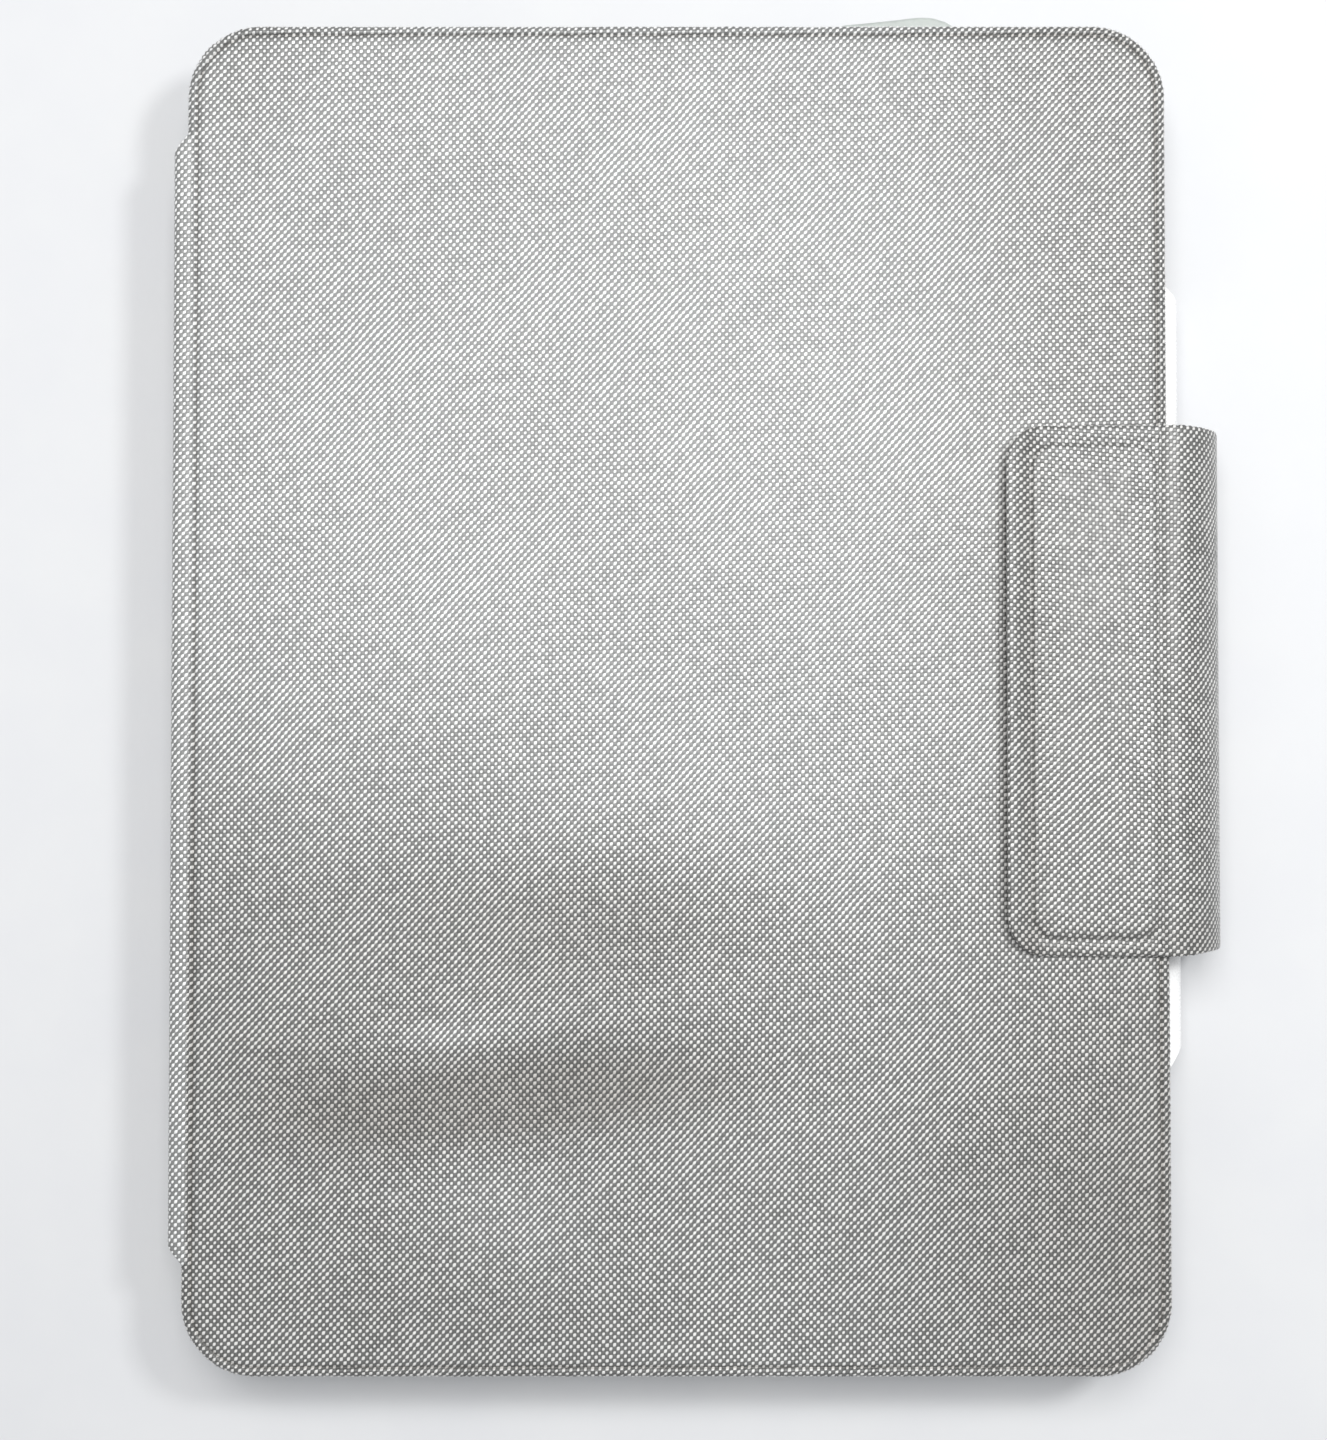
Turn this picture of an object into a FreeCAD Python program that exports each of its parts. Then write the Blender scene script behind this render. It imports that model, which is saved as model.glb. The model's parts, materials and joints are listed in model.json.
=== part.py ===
import FreeCAD, Part
import math
import os
import Sketcher
from FreeCAD import Placement, Rotation, Vector

# Folio keyboard case for a tablet of about 247.6 x 178.5 x 6.1 mm, lying closed.
# +Z is up, out of the front (keyboard) cover. The underside of the back cover is z = 0.
# X runs from the spine (-X) to the closing flap (+X); Y runs along the spine.

doc = FreeCAD.newDocument("tablet_keyboard_case")
sheet = doc.addObject("Spreadsheet::Sheet", "Dims")
P = {}


def cell(alias, value):
    """Adds one driving dimension (mm or degrees) to the sheet."""
    row = str(len(P) + 1)
    P[alias] = float(value)
    sheet.set("A" + row, alias)
    sheet.set("B" + row, repr(float(value)))
    sheet.setAlias("B" + row, alias)


def cells(**items):
    for alias, value in items.items():
        cell(alias, value)


# stack of layers, bottom to top
cells(
    skin=0.7, back_top=2.8, back_board_top=2.1, tray_floor_top=4.0, tray_lip_under=10.2, tray_top=10.9,
    key_face=11.4, pad_face=12.5, deck_face=12.6, deck_back=13.8, rib_under=15.1, rib_top=15.6, base_under=16.9, base_top=17.7,
    front_under=17.8, front_board_under=18.4, front_board_top=19.9, front_top=20.6,
)
# front cover
cells(front_left=-91.7, front_right=91.7, front_low=-126.0, front_high=126.0, front_round=13.6, front_inset=0.8, front_edge=1.1)
# back cover
cells(back_left=-92.0, back_right=95.5, back_low=-128.0, back_high=128.0, back_round=14.0, back_inset=0.8, back_edge=0.9)
# window in the back cover for the kickstand, and the camera hole
cells(win_left=-80.0, win_right=2.0, win_low=-100.0, win_high=100.0, win_round=6.0, cam_x=72.0, cam_y=108.0, cam_radius=10.0,
      notch_left=-84.0, notch_half=12.0)
# kickstand
cells(stand_left=-79.4, stand_right=-2.0, stand_low=-99.4, stand_high=99.4, stand_round=5.4, stand_top=2.0, stand_skin=0.6,
      pivot_z=1.25, knuckle_radius=0.78, bore_radius=0.42, pin_radius=0.38, leaf_reach=13.0, leaf_thick=0.43)
# spine
cells(spine_out=-94.8, spine_mid=-94.1, spine_in=-93.1, spine_lined=-92.7, spine_low=2.9, spine_high=17.7, spine_half=103.0,
      spine_cut=6.0, fold_x=-93.4, fold_low=1.4, fold_high=19.2, fold_radius=1.1)
# flap
cells(flap_low=-48.0, flap_high=50.3, flap_axis_x=96.9, flap_axis_z=1.4, tab_axis_x=93.4, tab_axis_z=21.9, tab_fold_radius=1.0,
      band_x=91.44, band_z=11.02, band_inner=10.46, band_outer=11.66, band_start=-52.5, band_end=71.5,
      tab_left=61.1, tab_right=91.9, tab_under=20.8, tab_lining_top=21.2, tab_plate_top=22.2, tab_border_top=22.0, tab_top=22.95,
      tab_round=7.5, plate_left=66.4, plate_right=89.0, plate_low=-44.4, plate_high=46.3, plate_round=4.0, emboss=0.7)
# tray
cells(tray_left=-92.0, tray_right=89.2, tray_low=-125.6, tray_high=125.6, tray_round=18.5,
      seat_left=-91.0, seat_right=88.0, seat_low=-124.1, seat_high=124.1, seat_round=17.0, lip=0.6)
# stylus holder
cells(stylus_x=91.3, stylus_z=8.2, stylus_inner=4.6, stylus_outer=5.2, stylus_low=-74.0, stylus_high=80.5, taper_high=5.0, taper_low=9.0)
# keyboard
cells(kb_left=-84.0, kb_right=84.0, kb_low=-120.0, kb_high=120.0, kb_round=10.0, kb_wall=1.2,
      key_unit=15.616, key_gap=2.0, row_pitch=17.2, row_first=-60.4, fn_center=-75.0, fn_size=8.6, key_clear=0.35, key_travel=1.5,
      cap_thick=2.0, stem_radius=1.5, stem_top=15.3, pad_left=23.0, pad_right=77.0, pad_half=48.0)
doc.recompute()


def bind(obj, prop, alias):
    obj.setExpression(prop, "Dims." + alias)


def body_of(label):
    b = doc.addObject("PartDesign::Body", label)
    b.Label = label
    return b


def plane_of(b, role):
    for f in b.Origin.OriginFeatures:
        if f.Role == role:
            return f
    raise RuntimeError(role)


def sketch_at(b, name, level, role="XY_Plane"):
    """A sketch on an origin plane of its own body, raised to a level held in the sheet."""
    sk = b.newObject("Sketcher::SketchObject", name)
    sk.AttachmentSupport = [(plane_of(b, role), "")]
    sk.MapMode = "FlatFace"
    sk.AttachmentOffset = Placement(Vector(0, 0, P[level]), Rotation())
    sk.setExpression("AttachmentOffset.Base.z", "Dims." + level)
    return sk


def add_rounded(sk, left, right, low, high, radius, grow=None):
    """A fully constrained rounded rectangle; every side is bound to a sheet cell, offset outward by grow."""
    g = P[grow[1:]] * (-1 if grow[0] == "-" else 1) if grow else 0.0
    x0, x1, y0, y1, r = P[left] - g, P[right] + g, P[low] - g, P[high] + g, P[radius] + g
    n = sk.GeometryCount
    V = Vector
    lines = [(V(x0 + r, y0, 0), V(x1 - r, y0, 0)), (V(x1, y0 + r, 0), V(x1, y1 - r, 0)),
             (V(x1 - r, y1, 0), V(x0 + r, y1, 0)), (V(x0, y1 - r, 0), V(x0, y0 + r, 0))]
    for a, b in lines:
        sk.addGeometry(Part.LineSegment(a, b), False)
    mids = [(x1 - r, y0 + r, -90, 0), (x1 - r, y1 - r, 0, 90), (x0 + r, y1 - r, 90, 180), (x0 + r, y0 + r, 180, 270)]
    for cx, cy, a, b in mids:
        sk.addGeometry(Part.ArcOfCircle(Part.Circle(V(cx, cy, 0), V(0, 0, 1), r), math.radians(a), math.radians(b)), False)
    C = Sketcher.Constraint
    for i in range(4):
        sk.addConstraint(C("Tangent", n + i, 2, n + 4 + i, 1))
        sk.addConstraint(C("Tangent", n + 4 + i, 2, n + (i + 1) % 4, 1))
    for i in range(4):
        sk.addConstraint(C("Vertical" if i % 2 else "Horizontal", n + i))
    for i in range(3):
        sk.addConstraint(C("Equal", n + 4, n + 5 + i))
    s = ("" if grow is None else " - Dims." + grow[1:]) if not (grow and grow[0] == "-") else " + Dims." + grow[1:]
    t = s.replace(" - ", " ~ ").replace(" + ", " - ").replace(" ~ ", " + ")
    k = sk.addConstraint(C("Radius", n + 4, r))
    sk.setExpression("Constraints[%d]" % k, "Dims." + radius + t)
    k = sk.addConstraint(C("DistanceX", -1, 1, n + 3, 1, x0))
    sk.setExpression("Constraints[%d]" % k, "Dims." + left + s)
    k = sk.addConstraint(C("DistanceX", -1, 1, n + 1, 1, x1))
    sk.setExpression("Constraints[%d]" % k, "Dims." + right + t)
    k = sk.addConstraint(C("DistanceY", -1, 1, n, 1, y0))
    sk.setExpression("Constraints[%d]" % k, "Dims." + low + s)
    k = sk.addConstraint(C("DistanceY", -1, 1, n + 2, 1, y1))
    sk.setExpression("Constraints[%d]" % k, "Dims." + high + t)


def add_circle(sk, x, y, radius):
    n = sk.addGeometry(Part.Circle(Vector(P[x], P[y], 0), Vector(0, 0, 1), P[radius]), False)
    C = Sketcher.Constraint
    for kind, alias, args in (("DistanceX", x, (-1, 1, n, 3, P[x])), ("DistanceY", y, (-1, 1, n, 3, P[y])), ("Radius", radius, (n, P[radius]))):
        k = sk.addConstraint(C(kind, *args))
        sk.setExpression("Constraints[%d]" % k, "Dims." + alias)


def pad_between(b, sk, name, low, high):
    f = b.newObject("PartDesign::Pad", name)
    f.Profile = sk
    f.Length = P[high] - P[low]
    f.setExpression("Length", "Dims.%s - Dims.%s" % (high, low))
    sk.Visibility = False
    doc.recompute()
    return f


def pocket_between(b, sk, name, low, high):
    """Cuts from the sketch's level down; the volume has to fall."""
    before = b.Shape.Volume
    f = b.newObject("PartDesign::Pocket", name)
    f.Profile = sk
    f.Length = P[high] - P[low]
    f.setExpression("Length", "Dims.%s - Dims.%s" % (high, low))
    doc.recompute()
    if not b.Shape.Volume < before - 1e-6:
        f.Reversed = not f.Reversed
        doc.recompute()
    if not b.Shape.Volume < before - 1e-6:
        raise RuntimeError("pocket cuts nothing: " + b.Label + " " + name)
    return f


def fillet_edges(b, name, base, radius, pick):
    shape = base.Shape
    names = ["Edge%d" % (i + 1) for i, e in enumerate(shape.Edges) if pick(e)]
    f = b.newObject("PartDesign::Fillet", name)
    f.Base = (base, names)
    f.Radius = P[radius]
    bind(f, "Radius", radius)
    doc.recompute()
    return f


def flat_at(z, x0=-1e9, x1=1e9, y0=-1e9, y1=1e9):
    def pick(e):
        bb = e.BoundBox
        return abs(bb.ZMin - z) < 1e-4 and abs(bb.ZMax - z) < 1e-4 and bb.XMin >= x0 and bb.XMax <= x1 and bb.YMin >= y0 and bb.YMax <= y1
    return pick


count = [0]


def block(x0, x1, y0, y1, z0, z1, name=None):
    """A Part::Box between two corners. Each number is a float or the name of a sheet cell."""
    count[0] += 1
    o = doc.addObject("Part::Box", name or "block_%d" % count[0])
    for prop, base, a, b in (("Length", "x", x0, x1), ("Width", "y", y0, y1), ("Height", "z", z0, z1)):
        va = P[a] if isinstance(a, str) else float(a)
        vb = P[b] if isinstance(b, str) else float(b)
        setattr(o, prop, vb - va)
        if isinstance(a, str) or isinstance(b, str):
            ea = "Dims." + a if isinstance(a, str) else "(%.6f)" % va
            eb = "Dims." + b if isinstance(b, str) else "(%.6f)" % vb
            o.setExpression(prop, "%s - %s" % (eb, ea))
        if isinstance(a, str):
            o.setExpression("Placement.Base." + base, "Dims." + a)
    v = [P[a] if isinstance(a, str) else float(a) for a in (x0, y0, z0)]
    o.Placement = Placement(Vector(*v), Rotation())
    if name:
        o.Label = name
    return o


def rod(axis, x, y, z, radius, length, name=None):
    """A Part::Cylinder that starts at a point and runs along X, Y or Z."""
    count[0] += 1
    o = doc.addObject("Part::Cylinder", name or "rod_%d" % count[0])
    o.Radius = P[radius] if isinstance(radius, str) else radius
    if isinstance(radius, str):
        bind(o, "Radius", radius)
    o.Height = length
    turn = {"X": Rotation(Vector(0, 1, 0), 90), "Y": Rotation(Vector(1, 0, 0), -90), "Z": Rotation()}[axis]
    v = [P[a] if isinstance(a, str) else float(a) for a in (x, y, z)]
    o.Placement = Placement(Vector(*v), turn)
    for base, a in zip("xyz", (x, y, z)):
        if isinstance(a, str):
            o.setExpression("Placement.Base." + base, "Dims." + a)
    if name:
        o.Label = name
    return o


def joined(objs, name=None):
    if len(objs) == 1:
        return objs[0]
    count[0] += 1
    o = doc.addObject("Part::MultiFuse", name or "joined_%d" % count[0])
    o.Shapes = objs
    if name:
        o.Label = name
    return o


def cut(base, tools, name):
    o = doc.addObject("Part::Cut", name)
    o.Base = base
    o.Tool = joined(tools)
    o.Label = name
    return o


def feature(shape, name):
    o = doc.addObject("Part::Feature", name)
    o.Shape = shape
    o.Placement = Placement()
    o.Label = name
    return o


NODES = []


def node(obj, name):
    obj.Label = name
    NODES.append(obj)
    return obj


# ---------------------------------------------------------------- back cover
cell("zero", 0.0)
b = body_of("back_cover_fabric_body")
s = sketch_at(b, "outline_back", "zero")
add_rounded(s, "back_left", "back_right", "back_low", "back_high", "back_round")
p = pad_between(b, s, "sheet_back", "zero", "back_top")
f = fillet_edges(b, "edge_back", p, "back_edge", flat_at(0.0))
s = sketch_at(b, "inside_back", "back_top")
add_rounded(s, "back_left", "back_right", "back_low", "back_high", "back_round", "-skin")
pocket_between(b, s, "room_back", "skin", "back_top")
s = sketch_at(b, "window_back", "skin")
add_rounded(s, "win_left", "win_right", "win_low", "win_high", "win_round")
add_circle(s, "cam_x", "cam_y", "cam_radius")
pocket_between(b, s, "opening_back", "zero", "skin")
node(cut(b, [block("notch_left", -79.0, -12, 12, -1, "skin")], "back_cover_fabric"), "back_cover_fabric")

b = body_of("back_cover_board_body")
s = sketch_at(b, "outline_back_board", "skin")
add_rounded(s, "back_left", "back_right", "back_low", "back_high", "back_round", "-back_inset")
p = pad_between(b, s, "panel_back_board", "skin", "back_board_top")
s = sketch_at(b, "window_back_board", "back_board_top")
add_rounded(s, "win_left", "win_right", "win_low", "win_high", "win_round")
add_circle(s, "cam_x", "cam_y", "cam_radius")
pocket_between(b, s, "opening_back_board", "skin", "back_board_top")
tools = [block("notch_left", -79.0, -12, 12, "skin", "back_board_top")]
for y in (-80.0, 20.0):
    tools.append(block(1.5, 13.2, y - 0.2, y + 60.2, "skin", 1.2))
node(cut(b, tools, "back_cover_board"), "back_cover_board")

b = body_of("back_cover_lining")
s = sketch_at(b, "outline_back_lining", "back_board_top")
add_rounded(s, "back_left", "back_right", "back_low", "back_high", "back_round", "-back_inset")
pad_between(b, s, "sheet_back_lining", "back_board_top", "back_top")
s = sketch_at(b, "camera_back_lining", "back_top")
add_circle(s, "cam_x", "cam_y", "cam_radius")
pocket_between(b, s, "opening_back_lining", "back_board_top", "back_top")
node(b, "back_cover_lining")

# ---------------------------------------------------------------- tablet tray
b = body_of("tray_shell_body")
s = sketch_at(b, "outline_tray", "back_top")
add_rounded(s, "tray_left", "tray_right", "tray_low", "tray_high", "tray_round")
pad_between(b, s, "block_tray", "back_top", "tray_top")
s = sketch_at(b, "mouth_tray", "tray_top")
add_rounded(s, "seat_left", "seat_right", "seat_low", "seat_high", "seat_round", "-lip")
pocket_between(b, s, "mouth_cut_tray", "tray_floor_top", "tray_top")
s = sketch_at(b, "seat_tray", "tray_lip_under")
add_rounded(s, "seat_left", "seat_right", "seat_low", "seat_high", "seat_round")
pocket_between(b, s, "seat_cut_tray", "tray_floor_top", "tray_lip_under")
s = sketch_at(b, "camera_tray", "tray_floor_top")
add_circle(s, "cam_x", "cam_y", "cam_radius")
pocket_between(b, s, "camera_cut_tray", "back_top", "tray_floor_top")
tools = [
    block(-8.5, 5.5, -127, -123.4, 4.8, 9.4),  # charging port
    block(-62, -30, -127, -123.4, 5.6, 8.6), block(27, 59, -127, -123.4, 5.6, 8.6),  # speakers
    block(-62, -30, 123.4, 127, 5.6, 8.6),
    block(35.5, 50.5, 123.4, 127, 4.9, 9.7),  # top button window
    block(87.3, 90, 88.2, 99.8, 4.9, 9.7), block(87.3, 90, 102.2, 113.8, 4.9, 9.7),  # side button windows
    block(87.3, 90, "stylus_low", "stylus_high", 4.0, 11.5),  # the side is open where the stylus lies
]
node(cut(b, tools, "tray_shell"), "tray_shell")


def button_cover(name, horizontal, a0, a1, face, grow):
    """Soft button cover: a neck through the window and a pad outside the wall, free to move in by 0.4 mm."""
    if horizontal:
        neck = block(a0 + 5.0, a1 - 4.0, 124.4, face + 0.7, 5.3, 9.3)
        pts = [(a0, face), (a0, face + 0.9), (a0 + 15.2, grow), (a0 + 18.5, grow - 0.3), (a1, face + 1.2), (a1, face), (a0, face)]
        wire = Part.makePolygon([Vector(x, y, 4.3) for x, y in pts])
        solid = Part.Face(wire).extrude(Vector(0, 0, 6.0))
        wedge = feature(solid.makeFillet(0.35, solid.Edges), name + "_pad")
        return node(joined([neck, wedge], name), name)
    neck = block(88.3, face + 0.3, a0 + 0.5, a1 - 0.5, 5.3, 9.3)
    pad = Part.makeBox(1.0, a1 - a0, 5.6, Vector(face, a0, 4.5))
    pad = feature(pad.makeFillet(0.35, pad.Edges), name + "_pad")
    return node(joined([neck, pad], name), name)


button_cover("power_button_cover", True, 31.7, 53.6, 126.2, 131.0)
button_cover("volume_up_cover", False, 102.5, 113.5, 89.8, 0)
button_cover("volume_down_cover", False, 88.5, 99.5, 89.8, 0)

# ---------------------------------------------------------------- stylus holder
length = P["stylus_high"] - P["stylus_low"]
outer = rod("Y", "stylus_x", "stylus_low", "stylus_z", "stylus_outer", length)
outer.setExpression("Height", "Dims.stylus_high - Dims.stylus_low")
inner = rod("Y", "stylus_x", P["stylus_low"] - 1, "stylus_z", "stylus_inner", length + 2)
mouth = block(80, 89.4, P["stylus_low"] - 1, P["stylus_high"] + 1, 0, 20)
wedges = []
for sign, end, taper in ((1, P["stylus_high"], P["taper_high"]), (-1, P["stylus_low"], P["taper_low"])):
    # each end is cut back in plan, so that the sleeve runs into the side of the tray
    pts = [(90.5, end), (97.2, end - sign * taper), (99.0, end - sign * taper), (99.0, end + sign), (90.5, end + sign), (90.5, end)]
    tri = Part.makePolygon([Vector(x, y, 0) for x, y in pts])
    wedges.append(feature(Part.Face(tri).extrude(Vector(0, 0, 20)), "stylus_end_%s" % ("high" if sign > 0 else "low")))
node(cut(outer, [inner, mouth] + wedges, "stylus_holder"), "stylus_holder")

# ---------------------------------------------------------------- kickstand
b = body_of("kickstand_fabric_body")
s = sketch_at(b, "outline_stand", "zero")
add_rounded(s, "stand_left", "stand_right", "stand_low", "stand_high", "stand_round")
pad_between(b, s, "sheet_stand", "zero", "stand_top")
s = sketch_at(b, "inside_stand", "stand_top")
add_rounded(s, "stand_left", "stand_right", "stand_low", "stand_high", "stand_round", "-stand_skin")
pocket_between(b, s, "room_stand", "stand_skin", "stand_top")
tools = [block(-3.5, -1.0, y - 0.2, y + 60.2, "stand_skin", 3) for y in (-80.0, 20.0)]
node(cut(b, tools, "kickstand_fabric"), "kickstand_fabric")

b = body_of("kickstand_board_body")
cell("stand_inset", 0.7)
s = sketch_at(b, "outline_stand_board", "stand_skin")
add_rounded(s, "stand_left", "stand_right", "stand_low", "stand_high", "stand_round", "-stand_inset")
pad_between(b, s, "panel_stand_board", "stand_skin", "stand_top")
tools = [block(-13.2, -1, y - 0.2, y + 60.2, 0.5, 1.15) for y in (-80.0, 20.0)]
tools += [rod("Z", -74, y, 0.5, 3.1, 2) for y in (-70, 0, 70)]
node(cut(b, tools, "kickstand_board"), "kickstand_board")
node(joined([rod("Z", -74, y, "stand_skin", 3.0, 1.2) for y in (-70, 0, 70)], "kickstand_magnets"), "kickstand_magnets")


def hinge_half(name, side, slots):
    """Leaf hinge halves: knuckles of 11.8 mm round the pin, with a flat leaf on one side."""
    parts, bores = [], []
    for y in (-80.0, 20.0):
        for i in slots:
            a = y + 12.0 * i + 0.1
            parts.append(rod("Y", "zero", a, "pivot_z", "knuckle_radius", 11.8))
            x0, x1 = (0.0, 2.6) if side > 0 else (-2.6, 0.0)
            parts.append(block(x0, x1, a, a + 11.8, 0.71, 0.71 + P["leaf_thick"]))
        x0, x1 = (2.3, "leaf_reach") if side > 0 else (-P["leaf_reach"], -2.3)
        parts.append(block(x0, x1, y + 0.1, y + 59.9, 0.71, 0.71 + P["leaf_thick"]))
        bores.append(rod("Y", "zero", y - 1, "pivot_z", "bore_radius", 62.0))
    return node(cut(joined(parts), bores, name), name)


hinge_half("kickstand_hinge_fixed_leaves", 1, (0, 2, 4))
hinge_half("kickstand_hinge_moving_leaves", -1, (1, 3))
node(joined([rod("Y", "zero", y + 0.1, "pivot_z", "pin_radius", 59.8) for y in (-80.0, 20.0)], "kickstand_hinge_pins"), "kickstand_hinge_pins")

# ---------------------------------------------------------------- spine


def spine_plate(name, x0, x1, z0, z1, half, corner):
    """Upright strip with its ends cut back at the corners, drawn on the YZ plane."""
    b = body_of(name)
    s = sketch_at(b, "outline_" + name, x0, "YZ_Plane")
    pts = [(-half, z0 + corner), (-half + corner, z0), (half - corner, z0), (half, z0 + corner), (half, z1 - corner), (half - corner, z1), (-half + corner, z1), (-half, z1 - corner)]
    for i, a in enumerate(pts):
        c = pts[(i + 1) % 8]
        s.addGeometry(Part.LineSegment(Vector(a[0], a[1], 0), Vector(c[0], c[1], 0)), False)
    for i in range(8):
        s.addConstraint(Sketcher.Constraint("Coincident", i, 2, (i + 1) % 8, 1))
    for i, a in enumerate(pts):
        s.addConstraint(Sketcher.Constraint("DistanceX", -1, 1, i, 1, a[0]))
        s.addConstraint(Sketcher.Constraint("DistanceY", -1, 1, i, 1, a[1]))
    pad_between(b, s, "strip_" + name, x0, x1)
    return node(b, name)


z0, z1 = P["spine_low"], P["spine_high"]
spine_plate("spine_fabric", "spine_out", "spine_mid", z0, z1, P["spine_half"], 3.0)
spine_plate("spine_board", "spine_mid", "spine_in", z0 + 0.5, z1 - 0.5, 98.0, 2.0)
spine_plate("spine_lining", "spine_in", "spine_lined", z0, z1, 102.0, 3.0)
half = P["spine_half"]
for name, level in (("rear_fold", "fold_low"), ("front_fold", "fold_high")):
    o = rod("Y", "fold_x", -half + 1.0, level, "fold_radius", 2 * half - 2.0, name)
    o.setExpression("Height", "2 * Dims.spine_half - 2")
    node(o, name)

# ---------------------------------------------------------------- front cover
b = body_of("front_cover_fabric")
s = sketch_at(b, "outline_front", "front_under")
add_rounded(s, "front_left", "front_right", "front_low", "front_high", "front_round")
p = pad_between(b, s, "sheet_front", "front_under", "front_top")
fillet_edges(b, "edge_front", p, "front_edge", flat_at(P["front_top"]))
cell("front_room_top", P["front_board_top"])
s = sketch_at(b, "inside_front", "front_room_top")
add_rounded(s, "front_left", "front_right", "front_low", "front_high", "front_round", "-skin")
pocket_between(b, s, "room_front", "front_under", "front_room_top")
node(b, "front_cover_fabric")

b = body_of("front_cover_board_body")
s = sketch_at(b, "outline_front_board", "front_board_under")
add_rounded(s, "front_left", "front_right", "front_low", "front_high", "front_round", "-front_inset")
pad_between(b, s, "panel_front_board", "front_board_under", "front_board_top")
mag = [(76.0, 82.0, 60.0, 90.0), (76.0, 82.0, -90.0, -60.0), (20.5, 26.5, 60.0, 90.0), (20.5, 26.5, -90.0, -60.0)]
tools = [block(67.8, 88.2, -42.2, 44.2, 19.3, 20.5)]
tools += [block(a - 0.1, c - -0.1, d - 0.1, e + 0.1, 18.0, 19.65) for a, c, d, e in mag]
node(cut(b, tools, "front_cover_board"), "front_cover_board")
node(block(68, 88, -42, 44, 19.3, "front_board_top", "flap_catch_plate"), "flap_catch_plate")
node(joined([block(a, c, d, e, "front_board_under", 19.6) for a, c, d, e in mag], "keyboard_magnets"), "keyboard_magnets")

b = body_of("front_cover_lining")
s = sketch_at(b, "outline_front_lining", "front_under")
add_rounded(s, "front_left", "front_right", "front_low", "front_high", "front_round", "-front_inset")
pad_between(b, s, "sheet_front_lining", "front_under", "front_board_under")
node(b, "front_cover_lining")

# ---------------------------------------------------------------- closing flap
b = body_of("flap_side_fabric")
s = sketch_at(b, "profile_band", "zero", "XZ_Plane")
cell("band_from", -P["flap_high"])
s.AttachmentOffset = Placement(Vector(0, 0, P["band_from"]), Rotation())
s.setExpression("AttachmentOffset.Base.z", "Dims.band_from")
a0, a1 = math.radians(P["band_start"]), math.radians(P["band_end"])
c = Vector(P["band_x"], P["band_z"], 0)
ci, co = Part.Circle(c, Vector(0, 0, 1), P["band_inner"]), Part.Circle(c, Vector(0, 0, 1), P["band_outer"])


def on(radius, angle):
    return Vector(c.x + radius * math.cos(angle), c.y + radius * math.sin(angle), 0)


s.addGeometry(Part.ArcOfCircle(ci, a0, a1), False)
s.addGeometry(Part.ArcOfCircle(co, a0, a1), False)
s.addGeometry(Part.LineSegment(on(P["band_inner"], a0), on(P["band_outer"], a0)), False)
s.addGeometry(Part.LineSegment(on(P["band_inner"], a1), on(P["band_outer"], a1)), False)
C = Sketcher.Constraint
s.addConstraint(C("Coincident", 2, 1, 0, 1))
s.addConstraint(C("Coincident", 2, 2, 1, 1))
s.addConstraint(C("Coincident", 3, 1, 0, 2))
s.addConstraint(C("Coincident", 3, 2, 1, 2))
s.addConstraint(C("Coincident", 0, 3, 1, 3))
for kind, alias, args in (("DistanceX", "band_x", (-1, 1, 0, 3, c.x)), ("DistanceY", "band_z", (-1, 1, 0, 3, c.y)), ("Radius", "band_inner", (0, P["band_inner"])), ("Radius", "band_outer", (1, P["band_outer"]))):
    k = s.addConstraint(C(kind, *args))
    s.setExpression("Constraints[%d]" % k, "Dims." + alias)
p = pad_between(b, s, "band_flap", "flap_low", "flap_high")
if abs(b.Shape.BoundBox.YMax - P["flap_high"]) > 0.01:
    p.Reversed = True
    doc.recompute()
node(b, "flap_side_fabric")
width = P["flap_high"] - P["flap_low"]
for name, x, z, r in (("flap_lower_fold", "flap_axis_x", "flap_axis_z", "fold_radius"), ("flap_upper_fold", "tab_axis_x", "tab_axis_z", "tab_fold_radius")):
    o = rod("Y", x, "flap_low", z, r, width, name)
    o.setExpression("Height", "Dims.flap_high - Dims.flap_low")
    node(o, name)


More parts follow.
